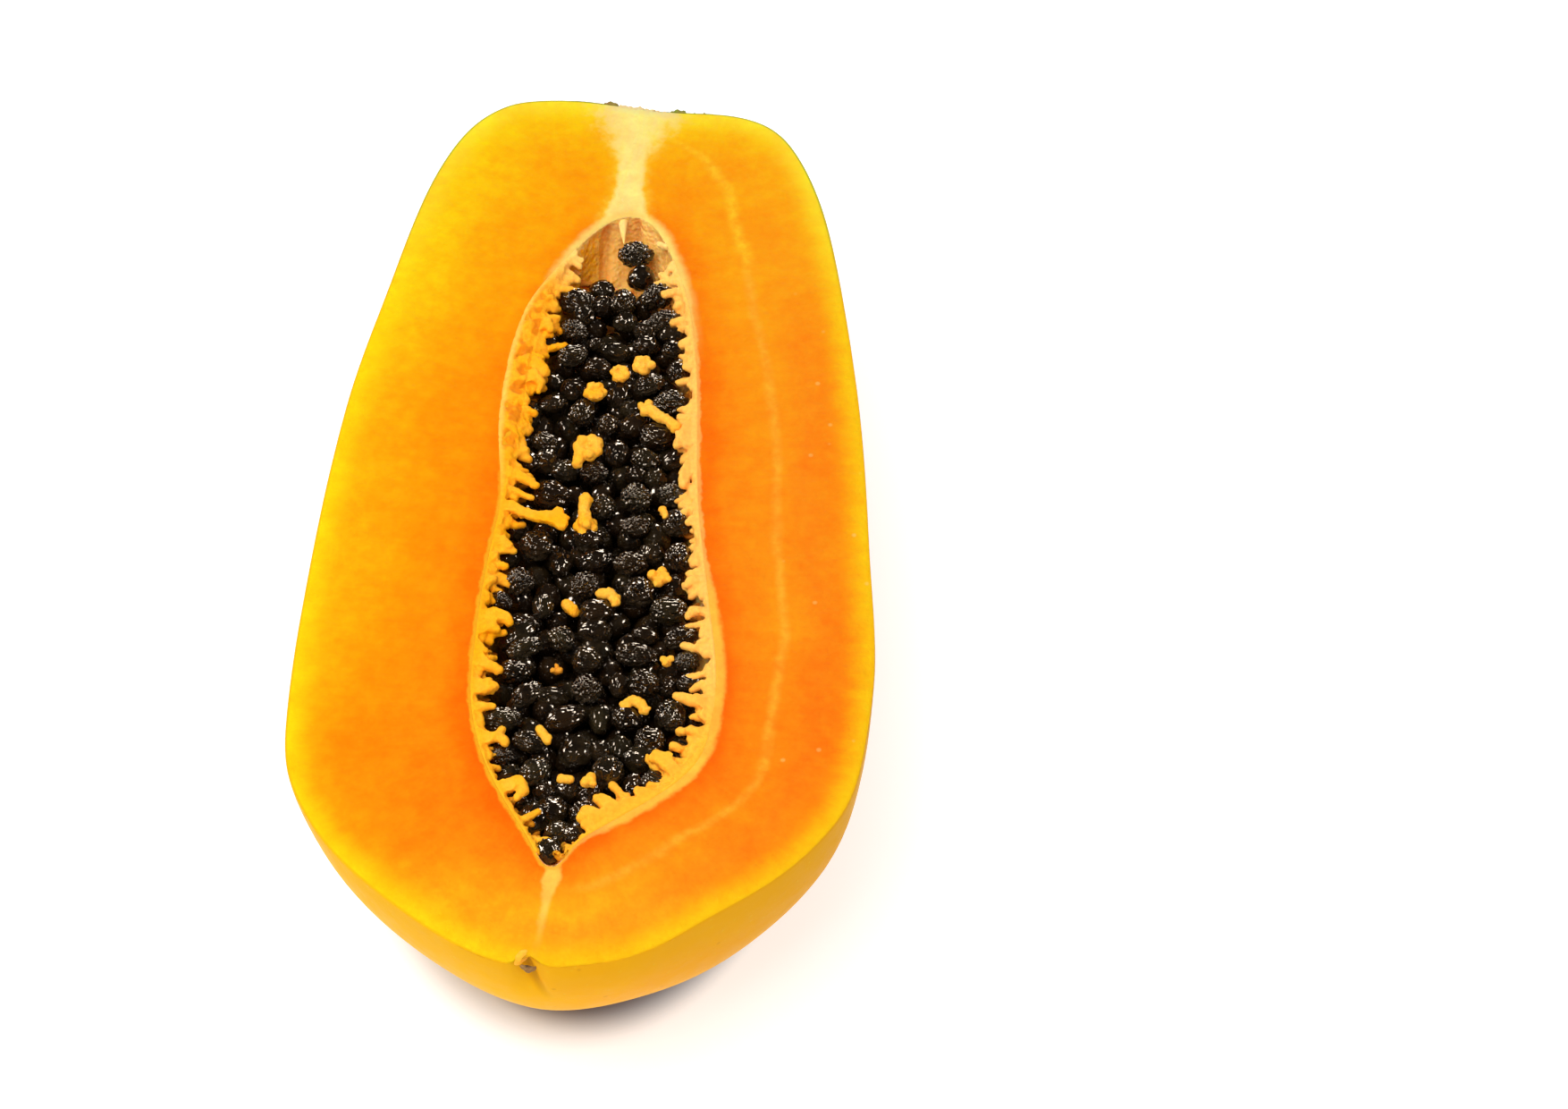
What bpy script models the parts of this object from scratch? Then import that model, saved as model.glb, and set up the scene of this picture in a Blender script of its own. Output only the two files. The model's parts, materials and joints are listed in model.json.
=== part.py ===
"""One half of a ripe papaya, cut lengthwise and lying on its back with the cut face up.

Units are metres and +Z is up. The half lies along Y, its blossom end at -Y and its stem end
at +Y. The origin is on the resting surface, under the middle of the half.
"""

import math
import random

import bmesh
import bpy
from mathutils import Vector

MM = 0.001

# Driving dimensions of the fruit. The stem shoulders end a little short of the full length,
# because the dimple between them is pressed in.
LENGTH = 200.6 * MM
MIDDLE = 100.1 * MM
CUT_HEIGHT = 52.0 * MM
AXIS_X = -3.3 * MM

# The skin at stations along the fruit. Each row holds the distance from the blossom end, the
# half widths left and right of the axis, and the depth below the cut, all in millimetres.
SKIN_STATIONS = (
    (4.0, 13.0, 18.5, 17.5),
    (12.0, 25.0, 29.0, 29.5),
    (24.0, 38.0, 43.0, 41.0),
    (42.0, 46.6, 52.8, 49.5),
    (66.0, 47.6, 54.2, 52.4),
    (92.0, 47.2, 51.6, 52.6),
    (120.0, 45.7, 48.4, 51.0),
    (150.0, 41.4, 43.2, 46.0),
    (176.0, 36.8, 37.0, 38.8),
    (190.0, 31.6, 30.8, 30.5),
    (194.0, 28.8, 27.9, 26.0),
    (197.0, 25.4, 23.8, 21.0),
    (198.9, 22.0, 17.8, 15.0),
)
# The deepest line of the skin runs this far right of the axis, because the fruit grew uneven,
# and further right towards the blossom end. A power just above 1 makes its section a little
# slimmer than an ellipse.
SKIN_LEAN = 3.0 * MM
SKIN_POWER = 1.07
STEM_DIMPLE_DEPTH = 2.4 * MM
STEM_DIMPLE_RADIUS = 9.0 * MM
STEM_DIMPLE_X = AXIS_X + 5.5 * MM

# The seed cavity, which has an axis of its own, a little to the right of the fruit's.
CAVITY_START = 21.0 * MM
CAVITY_END = 171.0 * MM
CAVITY_AXIS_X = AXIS_X + 2.0 * MM
CAVITY_STATIONS = (
    (27.0, 4.4, 4.0, 5.0),
    (34.0, 9.0, 12.5, 11.0),
    (46.0, 15.0, 23.5, 18.0),
    (60.0, 18.0, 24.8, 22.5),
    (80.0, 18.2, 21.8, 24.0),
    (105.0, 16.8, 17.6, 24.0),
    (130.0, 16.8, 15.4, 22.0),
    (148.0, 14.6, 12.6, 18.0),
    (160.0, 10.8, 8.6, 12.5),
    (167.0, 6.4, 5.4, 7.5),
)

# The seeds that lie open at the top of the cavity. Each row holds the distance right of the
# fruit's axis, the distance from the blossom end, the length and the width in millimetres,
# and the turn of the long axis in degrees, anticlockwise from +X.
TOP_SEEDS = (
    (4, 164.5, 7.3, 5.1, 5),
    (9, 154.5, 6.8, 5.2, 25),
    (-7.5, 152, 7.3, 5.1, 0),
    (2.5, 152.5, 5.7, 4.8, 90),
    (-6.5, 144.5, 6.0, 4.4, -20),
    (11, 148.5, 7.3, 4.3, 20),
    (12.5, 141, 5.2, 3.8, 5),
    (-6, 138.5, 6.3, 4.1, 20),
    (-1.5, 136, 5.4, 4.1, 5),
    (15, 136.5, 5.4, 4.1, 80),
    (9, 133, 6.3, 4.1, 25),
    (14, 128.5, 7.3, 5.1, 5),
    (-3, 125, 6.0, 4.9, 70),
    (2, 122.5, 4.4, 4.1, 5),
    (11, 120, 7.0, 5.4, 0),
    (-9, 117.5, 5.4, 3.8, -20),
    (9.5, 115, 6.0, 4.3, -10),
    (0.5, 111, 5.7, 4.3, 5),
    (-6.5, 105, 7.5, 5.9, -10),
    (4, 103.5, 5.1, 4.8, 5),
    (9.5, 105.5, 6.3, 5.7, -10),
    (16, 106.5, 6.7, 4.6, -10),
    (9, 99, 6.0, 4.0, 5),
    (17, 100.5, 5.7, 5.1, 85),
    (-8, 93.5, 6.3, 5.7, 40),
    (1, 96, 5.9, 5.7, 5),
    (9, 90.5, 6.8, 4.6, 0),
    (17.5, 92.5, 6.0, 5.4, 85),
    (-10.5, 84.5, 6.0, 5.4, 5),
    (1.5, 84.5, 6.3, 5.4, 40),
    (11.5, 84, 6.0, 5.6, 80),
    (-13, 80.5, 4.8, 3.6, -20),
    (-5.5, 79.5, 5.1, 4.1, 90),
    (4, 79.5, 7.0, 4.8, 15),
    (16.5, 80.5, 7.6, 5.1, 5),
    (-7, 69.5, 7.3, 3.8, 25),
    (-2.5, 72, 5.7, 4.8, -45),
    (19.5, 74.5, 6.7, 4.3, 25),
    (3.5, 68, 5.9, 5.4, 5),
    (12, 70, 8.3, 4.4, -5),
    (21, 69, 4.9, 4.1, 5),
    (-8.5, 64.5, 6.7, 4.4, 0),
    (4, 62, 5.9, 5.4, 5),
    (14, 63.5, 6.0, 5.9, 5),
    (22, 64.5, 5.4, 3.8, 5),
    (-7.5, 60, 7.0, 4.1, 45),
    (-10.5, 54.5, 7.9, 4.8, 10),
    (1, 55, 8.3, 4.8, 30),
    (12, 55.5, 6.0, 4.9, -10),
    (19, 56.5, 6.7, 5.7, -60),
    (-5, 49.5, 7.3, 4.1, -15),
    (16, 52, 6.0, 5.6, 5),
    (-9.5, 46, 4.9, 4.8, 5),
    (-3, 43, 6.7, 5.4, 45),
    (9.5, 44, 6.7, 6.0, 85),
    (18.5, 42, 6.0, 4.3, -25),
    (5, 30.5, 6.0, 5.1, 40),
    (1, 27, 5.4, 4.4, 30),
)
SEED_GAP = 0.35 * MM
SEED_SINK = 3.2 * MM
SEED_TAPER = 0.12
SETTLING_ROUNDS = 200
# Settling looks at this many points round a seed, and moves it back by a share of each overlap.
SEED_RIM_POINTS = 24
WALL_PUSH_SHARE = 0.25
WALL_PUSH_MOST = 0.4 * MM
LEAST_WALL_SHARE = 0.45

# The heap of seeds under them, as one lumpy solid.
BED_END = 150.0 * MM
BED_TOP_BELOW_CUT = 6.9 * MM
BED_WALL_GAP = 0.5 * MM
BED_LUMP = 1.4 * MM
BED_PITCH = 5.5 * MM
BED_FLATNESS = 0.001 * MM
BED_RANDOM_SEED = 11
BED_CUTS_ALONG = range(1, 24)
BED_CUTS_ACROSS = range(-3, 5)

FRUIT_SEGMENTS = 56
FRUIT_RINGS = 36
CAVITY_SEGMENTS = 40
CAVITY_RINGS = 30
BED_SEGMENTS = 28
BED_RINGS = 24
SHARP_ANGLE = math.radians(40)
ON_PLANE = 0.0001 * MM

SKIN = {
    "stations": SKIN_STATIONS,
    "start": 0.0,
    "end": LENGTH,
    "axis_x": AXIS_X,
    "lean": SKIN_LEAN,
    "power": SKIN_POWER,
}
CAVITY = {
    "stations": CAVITY_STATIONS,
    "start": CAVITY_START,
    "end": CAVITY_END,
    "axis_x": CAVITY_AXIS_X,
    "lean": 0.0,
    "power": 1.0,
}


def clear_scene():
    for obj in list(bpy.data.objects):
        bpy.data.objects.remove(obj, do_unlink=True)


def plain_material(name, colour, roughness):
    material = bpy.data.materials.new(name)
    material.use_nodes = True
    shader = material.node_tree.nodes["Principled BSDF"]
    shader.inputs["Base Color"].default_value = (*colour, 1.0)
    shader.inputs["Roughness"].default_value = roughness
    shader.inputs["Metallic"].default_value = 0.0
    material.diffuse_color = (*colour, 1.0)
    return material


def polar_angle(along, start, end):
    """The angle from the blossom end that a ball has at this distance along its axis."""
    middle = (start + end) / 2
    reach = (end - start) / 2
    return math.acos(max(-1.0, min(1.0, (middle - along) / reach)))


def knot_slopes(knots):
    """Slopes for a curve through the knots that never overshoots them."""
    steps = [(b[1] - a[1]) / (b[0] - a[0]) for a, b in zip(knots, knots[1:])]
    slopes = [steps[0]]
    for before, after in zip(steps, steps[1:]):
        if before * after <= 0:
            slopes.append(0.0)
        else:
            slopes.append(2 * before * after / (before + after))
    slopes.append(steps[-1])
    return slopes


def smooth_curve(knots):
    """A function of x that runs smoothly through the (x, y) knots."""
    slopes = knot_slopes(knots)

    def value(x):
        last = len(knots) - 2
        index = next((i for i in range(last) if x <= knots[i + 1][0]), last)
        (x0, y0), (x1, y1) = knots[index], knots[index + 1]
        span = x1 - x0
        t = (x - x0) / span
        blend = t * t * (3 - 2 * t)
        lift = (t**3 - 2 * t * t + t) * slopes[index] + (t**3 - t * t) * slopes[index + 1]
        return y0 + (y1 - y0) * blend + lift * span

    return value


def station_curves(shape):
    """The left, right and depth curves of a shape, over the polar angle along it."""
    curves = []
    for column in (1, 2, 3):
        knots = [(0.0, 0.0)]
        for station in shape["stations"]:
            angle = polar_angle(station[0] * MM, shape["start"], shape["end"])
            knots.append((angle, station[column] * MM))
        knots.append((math.pi, 0.0))
        curves.append(smooth_curve(knots))
    return curves


def world_y(along):
    return along - MIDDLE


def station_ball(name, shape, segments, rings):
    """A ball reshaped station by station, with its poles on Y and its axis on the cut.

    Below the cut, the lean moves each section right, more where it is deeper and more
    towards the blossom end.
    """
    left, right, depth = station_curves(shape)
    start, end, power = shape["start"], shape["end"], shape["power"]
    body = bmesh.new()
    bmesh.ops.create_uvsphere(body, u_segments=segments, v_segments=rings, radius=1.0)
    for vertex in body.verts:
        angle = math.acos(max(-1.0, min(1.0, -vertex.co.z)))
        along = (start + end) / 2 - (end - start) / 2 * math.cos(angle)
        around = Vector((vertex.co.x, vertex.co.y))
        if around.length > 0:
            around.normalize()
        across = math.copysign(abs(around.x) ** power, around.x)
        down = math.copysign(abs(around.y) ** power, around.y)
        side = left(angle) if across < 0 else right(angle)
        shift = shape["lean"] * math.sin(angle) * (1 + math.cos(angle)) * max(0.0, -down)
        vertex.co = (
            shape["axis_x"] + side * across + shift,
            world_y(along),
            CUT_HEIGHT + depth(angle) * down,
        )
    bmesh.ops.recalc_face_normals(body, faces=body.faces)
    mesh = bpy.data.meshes.new(name)
    body.to_mesh(mesh)
    body.free()
    obj = bpy.data.objects.new(name, mesh)
    bpy.context.scene.collection.objects.link(obj)
    return obj


def slice_off(obj, point, normal):
    """Cuts away what lies beyond the plane and closes the cut with one flat face."""
    body = bmesh.new()
    body.from_mesh(obj.data)
    geometry = body.verts[:] + body.edges[:] + body.faces[:]
    bmesh.ops.bisect_plane(
        body, geom=geometry, dist=ON_PLANE, plane_co=point, plane_no=normal, clear_outer=True
    )
    rim = [edge for edge in body.edges if edge.is_boundary]
    bmesh.ops.holes_fill(body, edges=rim, sides=0)
    bmesh.ops.recalc_face_normals(body, faces=body.faces)
    body.to_mesh(obj.data)
    body.free()


def shade(obj):
    obj.data.shade_smooth()
    obj.data.set_sharp_from_angle(angle=SHARP_ANGLE)


def press_stem_dimple(obj):
    """The stem end is pressed in a little where the stalk came off."""
    for vertex in obj.data.vertices:
        if vertex.co.y < LENGTH / 4:
            continue
        from_stalk = math.hypot(vertex.co.x - STEM_DIMPLE_X, vertex.co.z - CUT_HEIGHT)
        fade = math.exp(-((from_stalk / STEM_DIMPLE_RADIUS) ** 2))
        vertex.co.y -= STEM_DIMPLE_DEPTH * fade


def make_papaya_half(material):
    """Skin, flesh and cavity wall are one grown piece. The cut and the flat spot slice it."""
    half = station_ball("papaya_half", SKIN, FRUIT_SEGMENTS, FRUIT_RINGS)
    press_stem_dimple(half)
    slice_off(half, (0, 0, CUT_HEIGHT), (0, 0, 1))
    slice_off(half, (0, 0, 0), (0, 0, -1))
    cutter = station_ball("cavity_cutter", CAVITY, CAVITY_SEGMENTS, CAVITY_RINGS)
    cutter.hide_render = True
    cutter.display_type = "WIRE"
    hollow = half.modifiers.new("cavity", "BOOLEAN")
    hollow.operation = "DIFFERENCE"
    hollow.solver = "EXACT"
    hollow.object = cutter
    half.data.materials.append(material)
    shade(half)
    return half


def make_seed_mesh(material):
    """A seed of unit half length along X, a little narrower at its +X end."""
    body = bmesh.new()
    bmesh.ops.create_icosphere(body, subdivisions=2, radius=1.0)
    for vertex in body.verts:
        narrower = 1.0 - SEED_TAPER * vertex.co.x
        vertex.co.y *= narrower
        vertex.co.z *= narrower
    mesh = bpy.data.meshes.new("seed")
    body.to_mesh(mesh)
    body.free()
    mesh.materials.append(material)
    mesh.shade_smooth()
    return mesh


def reach(seed, direction):
    """How far a seed's outline reaches from its middle in a direction on the cut plane."""
    along_it = direction.x * math.cos(seed["turn"]) + direction.y * math.sin(seed["turn"])
    across_it = direction.y * math.cos(seed["turn"]) - direction.x * math.sin(seed["turn"])
    wide = seed["half_width"] * (1 + SEED_TAPER)
    return math.hypot(seed["half_length"] * along_it, wide * across_it)


def push_apart(seeds):
    """Moves each pair of seeds that are too close apart, half the way each."""
    for index, first in enumerate(seeds):
        for second in seeds[index + 1 :]:
            apart = second["place"] - first["place"]
            direction = apart.normalized()
            needed = reach(first, direction) + reach(second, direction) + SEED_GAP
            short = needed - apart.length
            if short > 0:
                first["place"] -= direction * short / 2
                second["place"] += direction * short / 2


def push_off_wall(seeds, left, right):
    """Moves back inside the cavity each seed whose edge would touch its wall."""
    for seed in seeds:
        move = Vector((0.0, 0.0))
        for step in range(SEED_RIM_POINTS):
            turn = math.tau * step / SEED_RIM_POINTS
            direction = Vector((math.cos(turn), math.sin(turn)))
            edge = seed["place"] + direction * (reach(seed, direction) + SEED_GAP)
            angle = polar_angle(edge.y, CAVITY_START, CAVITY_END)
            side = left(angle) if edge.x < CAVITY_AXIS_X else right(angle)
            side *= seed["wall_share"]
            over = abs(edge.x - CAVITY_AXIS_X) - side
            if over > 0:
                move -= direction * min(over, WALL_PUSH_MOST) * WALL_PUSH_SHARE
        seed["place"] += move


def settle_seeds():
    """The open seeds, moved apart until none touches another or the wall."""
    left, right, depth = station_curves(CAVITY)
    seeds = []
    for across, along, length, width, turn in TOP_SEEDS:
        angle = polar_angle(along * MM, CAVITY_START, CAVITY_END)
        half_width = width * MM / 2
        lowest = (SEED_SINK + half_width * (1 + SEED_TAPER)) / depth(angle)
        wall_share = math.sqrt(max(0.0, 1 - lowest * lowest))
        seeds.append(
            {
                "place": Vector((AXIS_X + across * MM, along * MM)),
                "half_length": length * MM / 2,
                "half_width": half_width,
                "turn": math.radians(turn),
                "wall_share": max(LEAST_WALL_SHARE, wall_share),
            }
        )
    for _ in range(SETTLING_ROUNDS):
        push_apart(seeds)
        push_off_wall(seeds, left, right)
    return seeds


def make_top_seeds(material):
    mesh = make_seed_mesh(material)
    for number, seed in enumerate(settle_seeds(), start=1):
        obj = bpy.data.objects.new(f"seed_{number:02d}", mesh)
        across = seed["place"].x
        obj.location = (across, world_y(seed["place"].y), CUT_HEIGHT - SEED_SINK)
        obj.rotation_euler = (0.0, 0.0, seed["turn"])
        obj.scale = (seed["half_length"], seed["half_width"], seed["half_width"])
        bpy.context.scene.collection.objects.link(obj)


def is_inside_top(vertex, top):
    corners = [corner for face in vertex.link_faces for corner in face.verts]
    return all(abs(corner.co.z - top) < BED_FLATNESS for corner in corners)


def roughen_top(bed, top):
    """Divides the bed's flat top about every seed's width and presses it down at random."""
    body = bmesh.new()
    body.from_mesh(bed.data)
    end_y = world_y(BED_END)
    cuts = [((0, end_y - step * BED_PITCH, 0), (0, 1, 0)) for step in BED_CUTS_ALONG]
    cuts += [((CAVITY_AXIS_X + step * BED_PITCH, 0, 0), (1, 0, 0)) for step in BED_CUTS_ACROSS]
    for point, normal in cuts:
        flat = [face for face in body.faces if face.calc_center_median().z > top - BED_FLATNESS]
        edges = list(dict.fromkeys(edge for face in flat for edge in face.edges))
        verts = list(dict.fromkeys(vert for face in flat for vert in face.verts))
        bmesh.ops.bisect_plane(
            body, geom=verts + edges + flat, dist=ON_PLANE, plane_co=point, plane_no=normal
        )
    rng = random.Random(BED_RANDOM_SEED)
    inner = [vertex for vertex in body.verts if is_inside_top(vertex, top)]
    for vertex in inner:
        vertex.co.z -= BED_LUMP * rng.random()
    body.to_mesh(bed.data)
    body.free()


def make_seed_bed(material):
    """The seeds below the open ones, filling the cavity as one solid with a lumpy top."""
    gap = BED_WALL_GAP / MM
    shape = dict(CAVITY)
    shape["start"] = CAVITY_START + BED_WALL_GAP
    shape["end"] = CAVITY_END - BED_WALL_GAP
    shape["stations"] = [
        (along, left - gap, right - gap, depth - gap)
        for along, left, right, depth in CAVITY_STATIONS
    ]
    bed = station_ball("seed_bed", shape, BED_SEGMENTS, BED_RINGS)
    top = CUT_HEIGHT - BED_TOP_BELOW_CUT
    slice_off(bed, (0, world_y(BED_END), 0), (0, 1, 0))
    slice_off(bed, (0, 0, top), (0, 0, 1))
    roughen_top(bed, top)
    bed.data.materials.append(material)
    shade(bed)
    return bed


def main():
    clear_scene()
    flesh = plain_material("ripe_flesh", (0.95, 0.36, 0.03), 0.4)
    seed_coat = plain_material("wet_seed_coat", (0.015, 0.011, 0.009), 0.25)
    make_papaya_half(flesh)
    make_top_seeds(seed_coat)
    make_seed_bed(seed_coat)


main()
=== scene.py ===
# %% [markdown]
# # A ripe papaya, cut lengthwise
# The half lies on its back with the cut face up, as it does on a kitchen table. Its solids were
# measured first and come in as a frame. This lesson builds the looks around them: the skin, the
# juicy flesh, the lining of the seed cavity, its tufts, and every single seed.

# %% Load the measured solids
import json
import math
import random

import bmesh
import bpy
import numpy as np
from mathutils import Euler, Matrix, Vector, noise
from mathutils.bvhtree import BVHTree

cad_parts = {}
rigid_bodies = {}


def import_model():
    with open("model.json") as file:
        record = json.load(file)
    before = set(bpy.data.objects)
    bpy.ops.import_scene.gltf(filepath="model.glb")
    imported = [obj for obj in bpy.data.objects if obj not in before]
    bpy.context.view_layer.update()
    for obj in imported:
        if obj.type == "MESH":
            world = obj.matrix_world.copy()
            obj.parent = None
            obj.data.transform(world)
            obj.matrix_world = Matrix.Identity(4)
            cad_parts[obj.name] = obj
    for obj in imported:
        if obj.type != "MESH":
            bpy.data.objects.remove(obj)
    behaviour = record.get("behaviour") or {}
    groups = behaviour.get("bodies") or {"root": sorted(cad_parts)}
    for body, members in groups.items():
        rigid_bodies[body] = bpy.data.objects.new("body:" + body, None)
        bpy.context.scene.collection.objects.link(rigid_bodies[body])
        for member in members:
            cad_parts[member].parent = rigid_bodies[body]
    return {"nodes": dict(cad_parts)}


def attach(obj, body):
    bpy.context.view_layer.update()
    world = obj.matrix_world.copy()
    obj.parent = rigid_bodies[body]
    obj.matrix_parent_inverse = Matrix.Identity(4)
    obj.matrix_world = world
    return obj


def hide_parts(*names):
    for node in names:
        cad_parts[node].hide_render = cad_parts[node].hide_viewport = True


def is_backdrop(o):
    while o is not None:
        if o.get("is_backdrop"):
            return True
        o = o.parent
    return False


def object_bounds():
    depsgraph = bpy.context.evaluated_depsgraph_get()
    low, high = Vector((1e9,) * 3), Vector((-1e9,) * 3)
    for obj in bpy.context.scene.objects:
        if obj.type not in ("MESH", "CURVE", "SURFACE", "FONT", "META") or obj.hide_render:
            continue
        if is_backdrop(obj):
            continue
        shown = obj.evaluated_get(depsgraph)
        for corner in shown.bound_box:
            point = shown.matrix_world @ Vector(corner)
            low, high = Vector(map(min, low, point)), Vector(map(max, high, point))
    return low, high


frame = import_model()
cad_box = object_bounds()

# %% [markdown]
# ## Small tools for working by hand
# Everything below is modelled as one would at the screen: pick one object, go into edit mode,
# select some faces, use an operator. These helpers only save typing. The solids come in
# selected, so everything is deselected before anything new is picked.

MM = 0.001


def pick_only(obj):
    """Selects one object, makes it the active one and deselects all others."""
    for other in bpy.context.selected_objects:
        other.select_set(False)
    obj.select_set(True)
    bpy.context.view_layer.objects.active = obj


def start_editing(obj):
    pick_only(obj)
    bpy.ops.object.mode_set(mode="EDIT")
    bpy.ops.mesh.select_mode(type="FACE")


def stop_editing():
    bpy.ops.object.mode_set(mode="OBJECT")


def select_where(obj, kind, test):
    """In edit mode, selects the faces or edges that pass the test and nothing else."""
    bpy.ops.mesh.select_mode(type=kind)
    bpy.ops.mesh.select_all(action="DESELECT")
    mesh = bmesh.from_edit_mesh(obj.data)
    parts = mesh.faces if kind == "FACE" else mesh.edges
    for part in parts:
        part.select_set(bool(test(part)))
    bmesh.update_edit_mesh(obj.data)
    return sum(part.select for part in parts)


def use_modifier(obj, kind, **settings):
    """Adds a modifier, sets it and applies it."""
    step = obj.modifiers.new(kind.lower(), kind)
    for name, value in settings.items():
        setattr(step, name, value)
    pick_only(obj)
    bpy.ops.object.modifier_apply(modifier=step.name)


def points_of(mesh):
    points = np.empty(len(mesh.vertices) * 3)
    mesh.vertices.foreach_get("co", points)
    return points.reshape(-1, 3)


def move_points(mesh, points):
    mesh.vertices.foreach_set("co", points.ravel())
    mesh.update()


def store(obj, name, values):
    """Stores a number or a place at each point, for the materials to read."""
    kind, key = ("FLOAT", "value") if values.ndim == 1 else ("FLOAT_VECTOR", "vector")
    obj.data.attributes.new(name, kind, "POINT").data.foreach_set(key, values.ravel())


def new_object(name, data):
    """Puts an object with this mesh, lamp or camera into the scene."""
    obj = bpy.data.objects.new(name, data)
    bpy.context.scene.collection.objects.link(obj)
    return obj


print("solids:", len(frame["nodes"]), "box:", [list(corner) for corner in cad_box])

# %% [markdown]
# ## The camera
# The photograph looks down on the half at 51 degrees, from its blossom end and a little from
# the right, through a long lens. The lens is given by how many pixels one radian covers. The
# same camera turns a pixel of the photograph into a place on the fruit, which is how small
# things such as tufts find their spot.

# %% Set up the camera
PHOTO_WIDTH = 1754
PHOTO_HEIGHT = 1240
PIXELS_PER_RADIAN = 6304.0
CAMERA_PLACE = Vector((0.0814, -0.63655, 0.8292))
CAMERA_AIM = Vector((0.0330, -0.00805, 0.0520))
SENSOR_WIDTH = 36.0
CUT_HEIGHT = cad_box[1].z

camera_data = bpy.data.cameras.new("camera")
camera_data.sensor_width = SENSOR_WIDTH
camera_data.lens = SENSOR_WIDTH * PIXELS_PER_RADIAN / PHOTO_WIDTH
camera = new_object("camera", camera_data)
camera.location = CAMERA_PLACE
camera.rotation_euler = (CAMERA_AIM - CAMERA_PLACE).to_track_quat("-Z", "Y").to_euler()
bpy.context.scene.camera = camera


def spot(pixel_x, pixel_y, below=0.0):
    """The place that the camera sees at a pixel, on the level this far below the cut."""
    turn = camera.rotation_euler.to_matrix()
    across = pixel_x - PHOTO_WIDTH / 2
    up = PHOTO_HEIGHT / 2 - pixel_y
    ray = turn @ Vector((across, up, -PIXELS_PER_RADIAN))
    reach = (CUT_HEIGHT - below - CAMERA_PLACE.z) / ray.z
    return CAMERA_PLACE + ray * reach


print("lens", round(camera_data.lens, 1), "mm; the image centre falls on",
      spot(PHOTO_WIDTH / 2, PHOTO_HEIGHT / 2))

# %% [markdown]
# ## Building blocks for the materials
# Every material here is a tree of shader nodes. A few helpers add a node to the tree in hand
# and wire it in one line. A node's output can be added, multiplied and so on as plain
# arithmetic, and each sign makes one Math node. Colours are given as a colour picker shows
# them on the screen, and are turned into the surface's own colour: the studio light makes a
# surface a little brighter than that.

# %% Turn screen colours into surface colours
LIGHT_GAIN = 1.31


def paint(red, green, blue):
    """The surface colour that looks like these 0 to 255 values under the studio light."""
    shares = [value / 255 for value in (red, green, blue)]
    linear = [((share + 0.055) / 1.055) ** 2.4 if share > 0.04045 else share / 12.92
              for share in shares]
    return (*(value / LIGHT_GAIN for value in linear), 1.0)


print("mid orange of the flesh:", [round(value, 3) for value in paint(252, 147, 15)])

# %% Write node maths as plain arithmetic
class Wire:
    """One output of a shader node, so that node maths can be written as plain arithmetic."""

    def __init__(self, socket):
        self.socket = socket

    def __add__(self, other):
        return calculate("ADD", self, other)

    def __sub__(self, other):
        return calculate("SUBTRACT", self, other)

    def __rsub__(self, other):
        return calculate("SUBTRACT", other, self)

    def __mul__(self, other):
        return calculate("MULTIPLY", self, other)

    def __truediv__(self, other):
        return calculate("DIVIDE", self, other)

    def __rtruediv__(self, other):
        return calculate("DIVIDE", other, self)

    def __abs__(self):
        return calculate("ABSOLUTE", self)


def plug(value, socket):
    """Wires a node's output into a socket, or sets the socket to a plain value."""
    if isinstance(value, Wire):
        tree.links.new(value.socket, socket)
    else:
        socket.default_value = value


def add_node(kind, wires=None, **settings):
    """Adds a node to the tree in hand and fills its inputs, by name or by number."""
    made = tree.nodes.new("ShaderNode" + kind)
    for name, value in settings.items():
        setattr(made, name, value)
    for name, value in (wires or {}).items():
        plug(value, made.inputs[name])
    return made


def read(kind, output, wires=None, **settings):
    """Adds a node and gives the wire of one of its outputs."""
    return Wire(add_node(kind, wires, **settings).outputs[output])


def calculate(operation, *values):
    return read("Math", 0, dict(enumerate(values)), operation=operation)


print("signs that add a Math node: + - * / and abs()")

# %% Mix colours, and turn values into masks
def clamped(value):
    return read("Clamp", 0, {"Value": value})


def blend(factor, first, second, how="MIX"):
    """Mixes two colours by a factor."""
    return read("Mix", 2, {0: factor, 6: first, 7: second}, data_type="RGBA", blend_type=how)


def layered(color, *layers):
    """Lays more colours over a first one, each by its own share."""
    for share, over in layers:
        color = blend(share, color, over)
    return color


def way_between(value, start, end, how="LINEAR"):
    """0 at the start and 1 at the end, evenly between."""
    return read("MapRange", 0, {"Value": value, "From Min": start, "From Max": end},
                interpolation_type=how)


def rise(value, low, high):
    """0 at low, 1 at high, and a smooth way between; a low above high makes it fall."""
    return way_between(value, low, high, "SMOOTHSTEP")


def color_ramp(factor, stops):
    made = add_node("ValToRGB", {"Fac": factor})
    elements = made.color_ramp.elements
    elements[0].position, elements[0].color = stops[0]
    elements[1].position, elements[1].color = stops[-1]
    for place, color in stops[1:-1]:
        elements.new(place).color = color
    return Wire(made.outputs["Color"])


def curve_through(value, points):
    made = add_node("FloatCurve", {"Value": value})
    knots = made.mapping.curves[0].points
    knots[0].location = points[0]
    knots[1].location = points[-1]
    for point in points[1:-1]:
        knots.new(*point)
    made.mapping.update()
    return Wire(made.outputs[0])


def yellowed(color, share):
    """Multiplies green and blue, so that an orange gets yellower, or redder below 1."""
    shade = read("CombineColor", 0, {"Red": 1.0, "Green": share, "Blue": share})
    return blend(1.0, color, shade, "MULTIPLY")


print("ways to mix: blend, layered, yellowed; masks: rise, way_between, curve_through")

# %% Start a material and finish it
def distance_to(place):
    return read("VectorMath", "Value", {0: position, 1: tuple(place)}, operation="DISTANCE")


def stored(name, output="Fac"):
    """What was stored on the mesh under this name."""
    return read("Attribute", output, attribute_name=name)


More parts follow.
